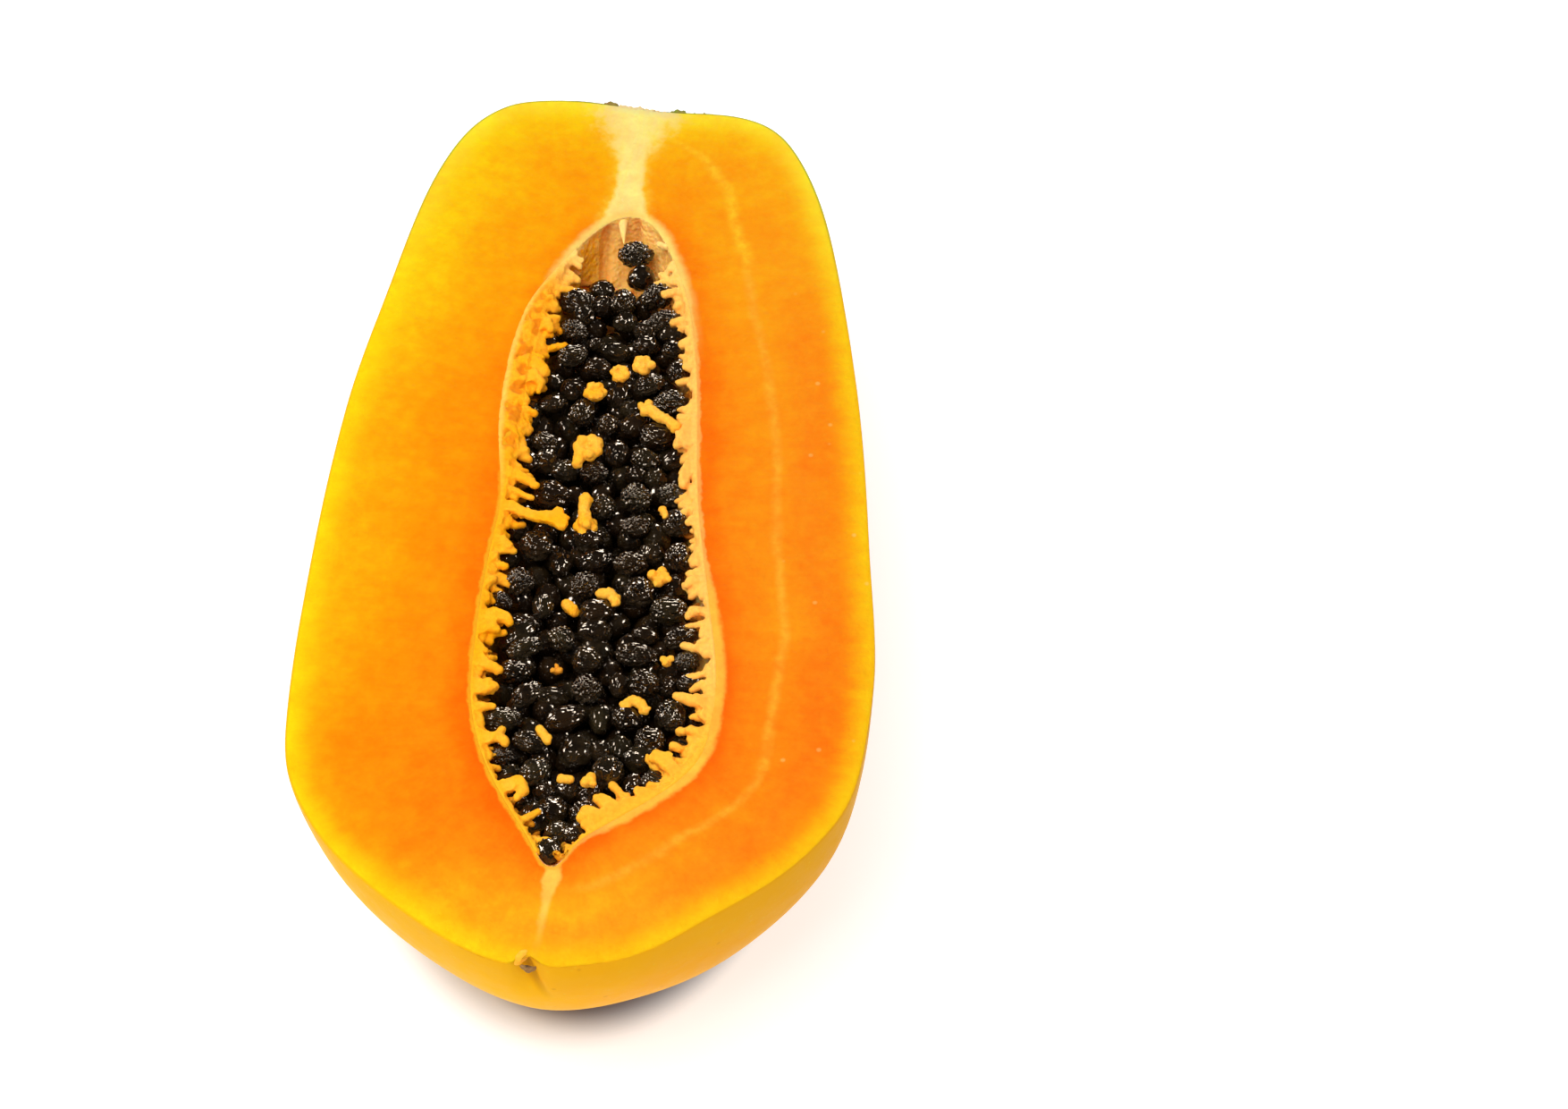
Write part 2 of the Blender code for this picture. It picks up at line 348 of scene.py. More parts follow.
def fresh_tree(material):
    """Takes a material in hand, emptied down to its Principled shader."""
    global tree
    material.use_nodes = True
    tree = material.node_tree
    tree.nodes.clear()
    shader = add_node("BsdfPrincipled")
    plug(Wire(shader.outputs["BSDF"]), add_node("OutputMaterial").inputs["Surface"])
    return shader


def object_place():
    """The place on the object, and how far it lies along X, Y and Z."""
    place = read("TexCoord", "Object")
    axes = add_node("SeparateXYZ", {"Vector": place}).outputs
    return place, Wire(axes["X"]), Wire(axes["Y"]), Wire(axes["Z"])


def finish_surface(color, roughness, specular, height, strength, depth):
    """Wires colour, roughness and a bump of this strength and depth into the shader."""
    plug(color, shader.inputs["Base Color"])
    plug(roughness, shader.inputs["Roughness"])
    plug(specular, shader.inputs["Specular IOR Level"])
    relief = read("Bump", 0, {"Height": height, "Strength": strength, "Distance": depth})
    plug(relief, shader.inputs["Normal"])


def let_light_in(weight, color, reach):
    """Lets light scatter under the surface, as in juicy flesh."""
    shader.inputs["Subsurface Weight"].default_value = weight
    shader.inputs["Subsurface Radius"].default_value = color
    shader.inputs["Subsurface Scale"].default_value = reach


print("materials so far:", len(bpy.data.materials))

# %% [markdown]
# ## Floor and light
# A bright room and one large soft light overhead give the almost shadowless look of a
# packshot. The table glows a little around the fruit, as a lit acrylic sheet does: the glow is
# light painted into the table, so that it burns out to white. Near and under the fruit the glow
# fades out, which paints a shadow there over the real one. A patch of the table in front is
# painted darker too, a painted shadow under the blossom end. The wet seeds need small
# highlights in near-black, as from lamps in a dark studio. So reflections see the room much
# darker than it lights, the softbox lights without being mirrored, and four lamps do the
# opposite: they are only mirrored. They stand on all sides, because the fruit also has to
# look right from the side and from behind, and none is where the level cut would mirror it
# into the camera.

# %% Make the floor
FLOOR_SIZE = 12.0
FLOOR_WHITE = (0.62, 0.62, 0.615, 1)
FLOOR_ROUGHNESS = 0.8

bpy.ops.mesh.primitive_plane_add(size=FLOOR_SIZE, location=(0, 0, 0))
floor = bpy.context.object
floor.name = "floor"
floor_paint = bpy.data.materials.new("white_table")
floor.data.materials.append(floor_paint)
floor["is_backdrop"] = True
shader = fresh_tree(floor_paint)
position, x, y, z = object_place()
shader.inputs["Roughness"].default_value = FLOOR_ROUGHNESS
shader.inputs["Specular IOR Level"].default_value = 0.0
print("floor:", FLOOR_SIZE, "m wide")

# %% Paint a glow into the table that fades near the fruit, and a painted shadow in front
FLOOR_GLOW = 0.62
GLOW_MIDDLE = (-3 * MM, 0, 0)
GLOW_HALF_SIZES = (42 * MM, 75 * MM, 1)
GLOW_STARTS, GLOW_FULL = 0.95, 1.12
GLOW_UNDER_FRUIT = 0.05
SHADE_MIDDLE = (3 * MM, 0, 0)
SHADE_HALF_SIZES = (38 * MM, 75 * MM, 1)
SHADE_OUTER = (0.955, 1.06)
SHADE_INNER = (0.92, 0.70)
SHADE_BACK = (-60 * MM, -38 * MM)
SHADED_WHITE = (0.12, 0.075, 0.050, 1)


def reach_in_oval(middle, half_sizes):
    """0 in the middle of an oval on the floor, 1 on its edge, more outside."""
    oval = read("Mapping", 0, {"Vector": position, "Location": middle, "Scale": half_sizes},
                vector_type="TEXTURE")
    return read("VectorMath", "Value", {0: oval}, operation="LENGTH")


# Painted light: the table's glow, faded out near and under the fruit, which paints a shadow
# there.
glow = rise(reach_in_oval(GLOW_MIDDLE, GLOW_HALF_SIZES), GLOW_STARTS, GLOW_FULL)
glow = glow * (1 - GLOW_UNDER_FRUIT) + GLOW_UNDER_FRUIT
plug(glow, shader.inputs["Emission Color"])
shader.inputs["Emission Strength"].default_value = FLOOR_GLOW
# Painted shadow: the table's own colour turns dark in front of the fruit, under the blossom end.
shade_reach = reach_in_oval(SHADE_MIDDLE, SHADE_HALF_SIZES)
white_share = calculate("MAXIMUM", rise(shade_reach, *SHADE_OUTER),
                        rise(shade_reach, *SHADE_INNER))
white_share = calculate("MAXIMUM", white_share, rise(y, *SHADE_BACK))
plug(blend(white_share, SHADED_WHITE, FLOOR_WHITE), shader.inputs["Base Color"])
print("glow under the fruit:", round(GLOW_UNDER_FRUIT * FLOOR_GLOW, 2))

# %% Hang the lamps
SOFTBOX = {"place": (-0.40, -0.35, 1.45), "size": 1.3, "power": 25.0}
MIRRORED_LAMPS = {
    "left_lamp": {"place": (-0.80, 0.20, 0.62), "size": 0.30, "power": 5.8},
    "right_lamp": {"place": (0.80, 0.15, 0.62), "size": 0.26, "power": 4.6},
    "back_lamp": {"place": (0.05, 0.95, 0.42), "size": 0.26, "power": 4.6},
    "front_lamp": {"place": (-0.35, -0.55, 0.95), "size": 0.18, "power": 2.1},
}
WARM_WHITE = (1.0, 0.84, 0.68)
LAMP_AIM = Vector((0, 0, 0.04))


def hang_lamp(name, place, size, power):
    light = bpy.data.lights.new(name, "AREA")
    light.size = size
    light.energy = power
    lamp = new_object(name, light)
    lamp.location = place
    lamp.rotation_euler = (LAMP_AIM - lamp.location).to_track_quat("-Z", "Y").to_euler()
    return lamp


softbox = hang_lamp("softbox", **SOFTBOX)
softbox.visible_glossy = False
for lamp_name, settings in MIRRORED_LAMPS.items():
    lamp = hang_lamp(lamp_name, **settings)
    lamp.data.color = WARM_WHITE
    lamp.visible_diffuse = False

# %% Light the room
ROOM_LIGHT = 0.52
ROOM_MIRRORED = 0.02
ROOM_SEEN = 1.0
WHITE = (1, 1, 1, 1)

world = bpy.data.worlds.new("bright_room")
bpy.context.scene.world = world
world.use_nodes = True
tree = world.node_tree
mirrored = read("LightPath", "Is Glossy Ray")
seen_directly = read("LightPath", "Is Camera Ray")
strength = mirrored * (ROOM_MIRRORED - ROOM_LIGHT) + ROOM_LIGHT
strength = seen_directly * (ROOM_SEEN - ROOM_LIGHT) + strength
plug(strength, tree.nodes["Background"].inputs["Strength"])
plug(WHITE, tree.nodes["Background"].inputs["Color"])
bpy.context.scene.view_settings.view_transform = "Standard"
bpy.context.scene.view_settings.look = "None"
print("lamps: softbox,", ", ".join(MIRRORED_LAMPS))

# %% [markdown]
# ## The flesh, the skin and the cavity wall: one grown piece
# The measured solid of the half is a good start: its outline, depth and cavity are right, but
# its faces are coarse and the cut is a fan of thin triangles. So a copy of it is merged, the
# fan is deleted, and the two rims are bridged again with rows that run round the cavity. Then
# a Subdivision Surface rounds it all. The two rims are creased, so that the cut stays flat.

# %% Copy the half and take its cut face off
SKIN, CUT, WALL = 0, 1, 2
FLAT = 0.99
BARELY = 0.00001
QUAD_BEND = math.radians(40)
QUAD_SKEW = math.radians(50)

fruit = new_object("papaya_flesh", frame["nodes"]["papaya_half"].data.copy())
fruit.data.materials.clear()
for name in ("skin", "cut_flesh", "cavity_wall"):
    fruit.data.materials.append(bpy.data.materials.new(name))


def is_cut_face(face):
    high = face.calc_center_median().z > CUT_HEIGHT - BARELY
    return high and face.normal.z > FLAT


start_editing(fruit)
bpy.ops.mesh.select_all(action="SELECT")
bpy.ops.mesh.remove_doubles(threshold=BARELY)
bpy.ops.mesh.customdata_custom_splitnormals_clear()
print("faces of the fan:", select_where(fruit, "FACE", is_cut_face))
bpy.ops.mesh.delete(type="FACE")
bpy.ops.mesh.select_all(action="SELECT")
bpy.ops.mesh.tris_convert_to_quads(face_threshold=QUAD_BEND, shape_threshold=QUAD_SKEW)

# %% Tell skin from cavity wall, and bridge the two rims
BRIDGE_CUTS = 7


def is_resting(face):
    return face.calc_center_median().z < BARELY


def give_slot(slot):
    """Gives the selected faces one of the fruit's three materials."""
    fruit.active_material_index = slot
    bpy.ops.object.material_slot_assign()


select_where(fruit, "FACE", lambda face: True)
give_slot(WALL)
select_where(fruit, "FACE", is_resting)
bpy.ops.mesh.select_linked(delimit=set())
give_slot(SKIN)
rims = select_where(fruit, "EDGE", lambda edge: edge.is_boundary)
bpy.ops.mesh.bridge_edge_loops(number_cuts=BRIDGE_CUTS, interpolation="LINEAR")
select_where(fruit, "FACE", is_cut_face)
give_slot(CUT)
stop_editing()
print("rim edges bridged:", rims)

# %% Crease the rims and round everything
ROUNDING_LEVELS = 2


def between_slots(edge, *slots):
    return {face.material_index for face in edge.link_faces} == set(slots)


def is_rim(edge):
    return between_slots(edge, SKIN, CUT) or between_slots(edge, CUT, WALL)


start_editing(fruit)
print("rim edges creased:", select_where(fruit, "EDGE", is_rim))
bpy.ops.transform.edge_crease(value=1.0)
select_where(fruit, "FACE", is_resting)
bpy.ops.mesh.region_to_loop()
bpy.ops.transform.edge_crease(value=1.0)
stop_editing()
use_modifier(fruit, "SUBSURF", levels=ROUNDING_LEVELS, render_levels=ROUNDING_LEVELS)
print("faces after rounding:", len(fruit.data.polygons))

# %% [markdown]
# ## Finer faces where small shapes will be
# The cavity wall has folds, and the two ends have a scar and a notch. Their faces are divided
# once more, so that the vertices there are close enough to carry those shapes.

# %% Divide the wall and the two ends
BLOSSOM_SCAR = spot(590, 1080)
STEM_SCAR = spot(722, 127)
END_REACH = 13 * MM


def near_an_end(face):
    middle = face.calc_center_median()
    return min((middle - BLOSSOM_SCAR).length, (middle - STEM_SCAR).length) < END_REACH


start_editing(fruit)
divided = select_where(fruit, "FACE", lambda face: face.material_index == WALL)
bpy.ops.mesh.subdivide(number_cuts=1, smoothness=0)
divided += select_where(fruit, "FACE", near_an_end)
bpy.ops.mesh.subdivide(number_cuts=2, smoothness=0)
stop_editing()
print("faces divided:", divided, "faces now:", len(fruit.data.polygons))

# %% [markdown]
# ## Finding a way round the rims
# Later steps need to know how far a point of the cut lies from the skin and from the cavity,
# because the flesh ripens from the inside out and its colour follows those two distances. So
# the points of both rims are picked up here, in order, before the edges are softened.

# %% Pick up the points of the two rims
def rim_points(obj, *slots):
    """The points of the rim between two slots, in order all the way round."""
    mesh = bmesh.new()
    mesh.from_mesh(obj.data)
    rim = [edge for edge in mesh.edges if between_slots(edge, *slots)]
    waiting = {edge.index for edge in rim}
    edge = rim[0]
    corner = edge.verts[1]
    points = [list(edge.verts[0].co)]
    while edge is not None:
        waiting.remove(edge.index)
        points.append(list(corner.co))
        edge = next((link for link in corner.link_edges if link.index in waiting), None)
        if edge is not None:
            corner = edge.other_vert(corner)
    mesh.free()
    return np.array(points)


def nearest_on_rim(points, rim):
    """How far each point is from a rim, and the place on the rim, seen from above."""
    starts = rim[:-1, :2]
    runs = rim[1:, :2] - starts
    away = points[:, None, :2] - starts
    share = np.clip((away * runs).sum(axis=2) / (runs**2).sum(axis=1), 0, 1)
    gaps = away - share[..., None] * runs
    lengths = np.sqrt((gaps**2).sum(axis=2))
    nearest = lengths.argmin(axis=1)
    every = np.arange(len(points))
    return lengths[every, nearest], points[:, :2] - gaps[every, nearest]


skin_rim = rim_points(fruit, SKIN, CUT)
cavity_rim = rim_points(fruit, CUT, WALL)
for name, rim in (("skin", skin_rim), ("cavity", cavity_rim)):
    way_round = np.linalg.norm(np.diff(rim, axis=0), axis=1).sum()
    print("way round the", name, round(way_round / MM), "mm")

# %% Soften the two cut edges
RIM_BEVELS = [((SKIN, CUT), 0.25 * MM, 2), ((CUT, WALL), 0.3 * MM, 3)]

start_editing(fruit)
for slots, width, segments in RIM_BEVELS:
    select_where(fruit, "EDGE", lambda edge: between_slots(edge, *slots))
    bpy.ops.mesh.bevel(offset=width, segments=segments, profile=0.5, affect="EDGES")
stop_editing()
print("faces with soft edges:", len(fruit.data.polygons))

# %% [markdown]
# ## Shaping it as in sculpt mode
# A knife leaves the cut almost flat, the cavity wall is folded lengthwise towards the stem,
# and both ends have a scar: at the blossom end the skin is pulled into a notch with a crease
# below it, at the stem end it sinks in where the stalk was. These are soft moves of many
# points at once. In sculpt mode one would brush them, and here a formula does it, because the
# same result is needed at each run.

# %% Measure distances, bells and noise
def smooth_share(value, low, high):
    """0 at low, 1 at high, and a smooth way between."""
    share = min(max((value - low) / (high - low), 0.0), 1.0)
    return share * share * (3 - 2 * share)


def bell(distance, width):
    return math.exp(-((distance / width) ** 2))


def noise_at(point, size):
    """Noise whose lumps have this size, the same all ways or one for each of X, Y and Z."""
    if isinstance(size, float):
        return noise.noise(point / size)
    return noise.noise(Vector((point.x / size.x, point.y / size.y, point.z / size.z)))


print("bell at its width:", round(bell(1, 1), 2))

# %% Wave the cut and fold the wall
WAVE_ZONE = 1.2 * MM
WAVE_SIZE = 11 * MM
WAVE_DEPTH = 0.22 * MM
FOLD_SIZE = Vector((2.4 * MM, 15 * MM, 4.0 * MM))
FOLD_DEPTH = 0.45 * MM
FOLDS_BELOW = 2 * MM
FOLDS_START = 42 * MM
FOLDS_FULL = 62 * MM
GRAIN_SIZE = 1.1 * MM
GRAIN_DEPTH = 0.13 * MM
GROOVES = [spot(678, 260).x, spot(712, 260).x]
GROOVE_WIDTH = 0.75 * MM
GROOVE_DEPTH = 0.9 * MM


def wave_cut(point):
    near_cut = smooth_share(point.z, CUT_HEIGHT - WAVE_ZONE, CUT_HEIGHT)
    wave = noise_at(point, WAVE_SIZE) - 1
    return Vector((0, 0, near_cut * WAVE_DEPTH * wave / 2))


def fold_wall(point, normal):
    deep = smooth_share(CUT_HEIGHT - point.z, 0, FOLDS_BELOW)
    stem_side = smooth_share(point.y, FOLDS_START, FOLDS_FULL)
    fold = FOLD_DEPTH * (0.5 + stem_side) * noise_at(point, FOLD_SIZE)
    grain_here = GRAIN_DEPTH * noise_at(point, GRAIN_SIZE)
    groove = sum(bell(point.x - across, GROOVE_WIDTH) for across in GROOVES)
    return normal * deep * (fold + grain_here - GROOVE_DEPTH * stem_side * groove)


print("grooves at", [round(across / MM, 1) for across in GROOVES], "mm")

# %% Lump the skin, pull in the blossom notch, sink the stalk's dimple
LUMP_SIZE = 17 * MM
LUMP_HEIGHT = 0.35 * MM
LUMPS_BELOW = 4 * MM
LUMPS_ABOVE = 2 * MM
NOTCH_DEPTH = 1.9 * MM
NOTCH_WIDTH = 2.3 * MM
NOTCH_REACH = 5 * MM
CREASE_DEPTH = 1.3 * MM
CREASE_WIDTH = 1.0 * MM
CREASE_LENGTH = 9 * MM
CREASE_LEAN = 0.35
DIMPLE_DEPTH = 0.4 * MM
DIMPLE_WIDTH = 7.5 * MM


def lump_skin(point, normal):
    buried = smooth_share(CUT_HEIGHT - point.z, 0, LUMPS_BELOW)
    buried *= smooth_share(point.z, 0, LUMPS_ABOVE)
    return normal * buried * LUMP_HEIGHT * noise_at(point, LUMP_SIZE)


def pull_blossom_notch(point):
    depth = CUT_HEIGHT - point.z
    inside = max(point.y - BLOSSOM_SCAR.y, 0)
    if depth > 3 * CREASE_LENGTH or inside > NOTCH_REACH:
        return Vector()
    across = point.x - BLOSSOM_SCAR.x
    notch = NOTCH_DEPTH * bell(across, NOTCH_WIDTH) * bell(depth, CREASE_LENGTH)
    crease_here = across - CREASE_LEAN * depth + CREASE_WIDTH
    crease = CREASE_DEPTH * bell(crease_here, CREASE_WIDTH) * bell(depth, CREASE_LENGTH)
    return Vector((0, (notch + crease) * (1 - inside / NOTCH_REACH), 0))


def sink_stem_dimple(point):
    ragged = 1 + 0.5 * noise_at(point, GRAIN_SIZE)
    depth = DIMPLE_DEPTH * bell((point - STEM_SCAR).length, DIMPLE_WIDTH) * ragged
    return Vector((0, -depth, 0))


print("notch", round(NOTCH_DEPTH / MM, 1), "mm deep, dimple",
      round(DIMPLE_DEPTH / MM, 1), "mm")

# %% Move all points of the flesh, and keep them between the table and the knife
wall_points = {
    index
    for face in fruit.data.polygons
    if face.material_index == WALL
    for index in face.vertices
}
shaped = []
for vertex in fruit.data.vertices:
    point = vertex.co.copy()
    move = wave_cut(point)
    if vertex.index in wall_points:
        move += fold_wall(point, vertex.normal)
    else:
        move += lump_skin(point, vertex.normal)
        move += pull_blossom_notch(point) + sink_stem_dimple(point)
    shaped.append(point + move)
shaped = np.array(shaped)
shaped[:, 2] = np.clip(shaped[:, 2], 0, CUT_HEIGHT)
largest_move = np.linalg.norm(shaped - points_of(fruit.data), axis=1).max()
move_points(fruit.data, shaped)
print("largest move", round(largest_move / MM, 2), "mm")

# %% Store the distances from the skin and from the cavity, and where the skin is nearest
STORED_BELOW = 3 * MM
SMOOTH_ANGLE = math.radians(40)

fruit_points = points_of(fruit.data)
near_top = fruit_points[:, 2] > CUT_HEIGHT - STORED_BELOW
skin_gaps, cavity_gaps = np.zeros(len(fruit_points)), np.zeros(len(fruit_points))
nearest_skin = np.zeros((len(fruit_points), 3))
skin_gaps[near_top], nearest_skin[near_top, :2] = nearest_on_rim(fruit_points[near_top],
                                                                 skin_rim)
cavity_gaps[near_top], _ = nearest_on_rim(fruit_points[near_top], cavity_rim)
store(fruit, "from_skin", skin_gaps)
store(fruit, "from_cavity", cavity_gaps)
store(fruit, "nearest_skin", nearest_skin)
pick_only(fruit)
bpy.ops.object.shade_smooth_by_angle(angle=SMOOTH_ANGLE)
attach(fruit, "root")
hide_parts("papaya_half")
print("up to", round(skin_gaps.max() / MM, 1), "mm from the skin and",
      round(cavity_gaps.max() / MM, 1), "mm from the cavity")

# %% [markdown]
# ## Three effects that many materials share
# Grown things are never one colour. Three shader node groups hold what all of them need: a
# mottle of slow and quick variation, small specks, and the fine grain of juicy cells, which
# feeds the bump. Each takes the position and its sizes as inputs, so that every material can
# use it at its own scale.

# %% Build the groups for mottle, specks and grain
def new_group(name, sizes, outputs):
    """Takes a new node group in hand, which reads a position and sizes."""
    global tree
    tree = bpy.data.node_groups.new(name, "ShaderNodeTree")
    new_socket = tree.interface.new_socket
    new_socket("Position", in_out="INPUT", socket_type="NodeSocketVector")
    for size_name, value in sizes.items():
        socket = new_socket(size_name, in_out="INPUT", socket_type="NodeSocketFloat")
        socket.default_value = value
    for output in outputs:
        new_socket(output, in_out="OUTPUT", socket_type="NodeSocketFloat")
    taken = tree.nodes.new("NodeGroupInput").outputs
    given = tree.nodes.new("NodeGroupOutput").inputs
    return tree, [Wire(taken[name]) for name in ("Position", *sizes)], given


def noise_of_size(at, size, detail=3.0, roughness=0.55):
    return read("TexNoise", "Fac", {"Vector": at, "Scale": 1.0 / size, "Detail": detail,
                                    "Roughness": roughness})


mottle_group, (at, *sizes), given = new_group(
    "grown_mottle", {"Coarse Size": 0.02, "Fine Size": 0.002}, ("Coarse", "Fine"))
for size, socket in zip(sizes, given):
    plug(rise(noise_of_size(at, size), 0.28, 0.72), socket)

speck_group, (at, spacing, share, radius), given = new_group(
    "small_specks", {"Spacing": 0.002, "Share": 0.5, "Radius": 0.3}, ["Mask"])
cells = add_node("TexVoronoi", {"Vector": at, "Scale": 1.0 / spacing})
lot = read("SeparateColor", 0, {"Color": Wire(cells.outputs["Color"])})
speck_here = rise(Wire(cells.outputs["Distance"]), radius, radius * 0.4)
plug(calculate("LESS_THAN", lot, share) * speck_here, given["Mask"])

grain_group, (at, cell_size), given = new_group("juicy_grain", {"Cell Size": 0.0006}, ["Height"])
to_cell = read("TexVoronoi", "Distance", {"Vector": at, "Scale": 1.0 / cell_size},
               feature="SMOOTH_F1")
plug(noise_of_size(at, cell_size * 4.0) * 1.5 + (1.0 - to_cell), given["Height"])


def use_group(group, *values):
    """Adds a group to the tree in hand and gives the wires of its outputs."""
    made = add_node("Group", dict(enumerate(values)), node_tree=group)
    return [Wire(socket) for socket in made.outputs]


def mottle(coarse_size, fine_size, at=None):
    """Slow and quick variation over the surface, each from 0 to 1."""
    return use_group(mottle_group, at or position, coarse_size, fine_size)


def specks(spacing, share, radius):
    """A mask of small round specks, in a share of the cells of this size."""
    return use_group(speck_group, position, spacing, share, radius)[0]


def grain(cell_size):
    """The height of juicy cells of this size."""
    return use_group(grain_group, position, cell_size)[0]


print("groups:", [group.name for group in bpy.data.node_groups])

# %% [markdown]
# ## The cut flesh
# Papaya flesh is deep orange next to the cavity and turns yellow under the skin, and this
# half is redder on its right side. Two colour ramps hold what one sees from the cavity to the
# skin on either side, and they are mixed across the fruit. On top of that come the yellow
# band under the skin, the light strand of vessels on the right, the pale core that runs from
# the cavity to the stalk, and the thin pale seam down to the blossom scar. The whole half is
# yellower towards its two ends, and the cut edge of the skin shows as a thin line.

# %% Mix the ramps of the cut flesh
FLESH_RED = 252
RAMP_PLACES = (0.0, 0.08, 0.2, 0.35, 0.5, 0.65, 0.8, 1.0)
LEFT_GREEN_BLUE = [(124, 4), (131, 4), (147, 6), (149, 6), (154, 6), (165, 8), (178, 10),
                   (184, 12)]
RIGHT_GREEN_BLUE = [(106, 10), (113, 10), (136, 18), (147, 20), (146, 20), (135, 20),
                    (139, 18), (152, 16)]
SIDE_WIDTH = 60 * MM
SIDE_LENGTH = 220 * MM

shader = fresh_tree(bpy.data.materials["cut_flesh"])
position, x, y, z = object_place()
slow, quick = mottle(22 * MM, 2.2 * MM)
from_skin = stored("from_skin")
from_cavity = stored("from_cavity")
ripeness = from_cavity / (from_skin + from_cavity)
ripeness = clamped(ripeness + (slow * 0.12 - 0.06))
right_side = clamped(x / SIDE_WIDTH - y / SIDE_LENGTH + 0.5)


def flesh_ramp(greens_and_blues):
    return color_ramp(ripeness, [(place, paint(FLESH_RED, *green_blue))
                                 for place, green_blue in zip(RAMP_PLACES, greens_and_blues)])


flesh = blend(right_side, flesh_ramp(LEFT_GREEN_BLUE), flesh_ramp(RIGHT_GREEN_BLUE))
print("ramps of", len(RAMP_PLACES), "colours each")

# %% Make it yellower towards both ends
YELLOWER_FROM = -100 * MM
YELLOWER_TO = 90 * MM
YELLOWER_LEFT = [
    (0.0, 1.0), (0.04, 0.95), (0.065, 0.86), (0.10, 0.64), (0.14, 0.51), (0.205, 0.53),
    (0.29, 0.61), (0.40, 0.65), (0.505, 0.665), (0.613, 0.67), (0.72, 0.74), (0.828, 0.83),
    (0.914, 0.81), (1.0, 0.80),
]
YELLOWER_RIGHT = [
    (0.0, 1.0), (0.04, 0.98), (0.065, 0.92), (0.10, 0.76), (0.14, 0.66), (0.205, 0.60),
    (0.29, 0.57), (0.40, 0.65), (0.505, 0.65), (0.7, 0.68), (0.828, 0.73), (1.0, 0.73),
]
MOST_YELLOW = 1.5

way_along = way_between(y, YELLOWER_FROM, YELLOWER_TO)
on_left = curve_through(way_along, YELLOWER_LEFT)
on_right = curve_through(way_along, YELLOWER_RIGHT)
flesh = yellowed(flesh, ((on_right - on_left) * right_side + on_left) * MOST_YELLOW)
print("nodes so far:", len(tree.nodes))

# %% Add the yellow band under the skin
LEFT_BAND = paint(253, 217, 14)
RIGHT_BAND = paint(251, 198, 20)
TOP_BAND = paint(253, 222, 44)
BAND_WIDTH = 7.5 * MM
BAND_START = 1.0 * MM
FIBRE_STRETCH = 0.12

inwards = read("CombineXYZ", 0, {"Z": from_skin * FIBRE_STRETCH})
fibre_place = read("VectorMath", 0, {0: stored("nearest_skin", "Vector"), 1: inwards},
                   operation="ADD")
slow_fibre, quick_fibre = mottle(3.5 * MM, 0.9 * MM, fibre_place)
wavy_depth = from_skin + slow_fibre * (1.1 * MM) + quick_fibre * (0.8 * MM)
band = rise(wavy_depth + quick * (1.2 * MM), BAND_WIDTH, BAND_START)
band_color = blend(right_side, LEFT_BAND, RIGHT_BAND)
band_color = blend(rise(y, 40 * MM, 92 * MM), band_color, TOP_BAND)
flesh = blend(band, flesh, band_color)
print("yellow band:", round(BAND_WIDTH / MM, 1), "mm")

# %% Add the strand of vessels on the right
STRAND_DEPTH = 16.3 * MM
STRAND_HALF_WIDTH = 0.75 * MM
STRAND_TOP_FROM = 57 * MM
STRAND_TOP_TO = 93 * MM
STRAND_TOP_REACH = 25 * MM
STRAND_TOP_PATH = [(0.0, 0.872), (0.306, 0.756), (0.597, 0.64), (0.714, 0.536), (0.834, 0.396),
                   (0.943, 0.144), (1.0, 0.0)]
STRAND_COLOR = paint(252, 170, 44)
STRAND_TOP = paint(254, 200, 40)


def mask_strand(off):
    """1 on the strand's middle, from how far off it is; the strand sways a little."""
    return rise(abs(off + (slow * (1.6 * MM) - 0.8 * MM)), 2 * STRAND_HALF_WIDTH, 0.0)


side_strand = mask_strand(STRAND_DEPTH - from_skin)
way_up = way_between(y, STRAND_TOP_FROM, STRAND_TOP_TO)
top_path = curve_through(way_up, STRAND_TOP_PATH) * STRAND_TOP_REACH
top_strand = mask_strand((top_path - x) * 0.75)
to_stalk = rise(y, 56 * MM, 64 * MM)
vessels = (top_strand - side_strand) * to_stalk + side_strand
vessels = vessels * rise(x, 1 * MM, 8 * MM) * (quick * 0.5 + 0.35)
flesh = blend(vessels, flesh, blend(to_stalk, STRAND_COLOR, STRAND_TOP))
print("strand:", round(STRAND_DEPTH / MM, 1), "mm under the skin")

# %% Add the pale core at the stalk
CORE_COLOR = paint(253, 229, 132)
CORE_EDGE = paint(253, 214, 62)
CORE_CRUST = paint(240, 214, 150)
CORE_FROM = spot(702, 226)
CORE_TO = spot(713, 130)
CORE_START = 70 * MM
CORE_END = 99 * MM
WIDEST_CORE = 10 * MM
CORE_HALF_WIDTHS = [
    (0.0, 0.40), (0.04, 0.37), (0.09, 0.32), (0.16, 0.27), (0.265, 0.22), (0.41, 0.20),
    (0.52, 0.21), (0.6, 0.24), (0.7, 0.30), (0.8, 0.38), (1.0, 0.50),
]
CORE_SOFT_END = 6.0 * MM
CORE_SOFTNESS = 1.2 * MM
CORE_GLOW = 3.6 * MM


def mask_strip(start_place, end_place, start, end, half_widths, widest, softness):
    """1 on a strip along Y through two places, with a half width given by a curve."""
    slope = (end_place.x - start_place.x) / (end_place.y - start_place.y)
    off = x - (y * slope + (start_place.x - slope * start_place.y))
    way = way_between(y, start, end)
    half = curve_through(way, half_widths) * widest
    return rise(abs(off) + quick * (softness * 0.5), half + softness, half), way


def mask_core(softness):
    """1 on the core, with an edge that gets softer towards the stalk."""
    softer = rise(y, 84 * MM, 95 * MM) * CORE_SOFT_END + softness
    strip, _ = mask_strip(CORE_FROM, CORE_TO, CORE_START, CORE_END, CORE_HALF_WIDTHS,
                          WIDEST_CORE, softer)
    return strip * rise(y, CORE_START - 4 * MM, CORE_START + 2 * MM)


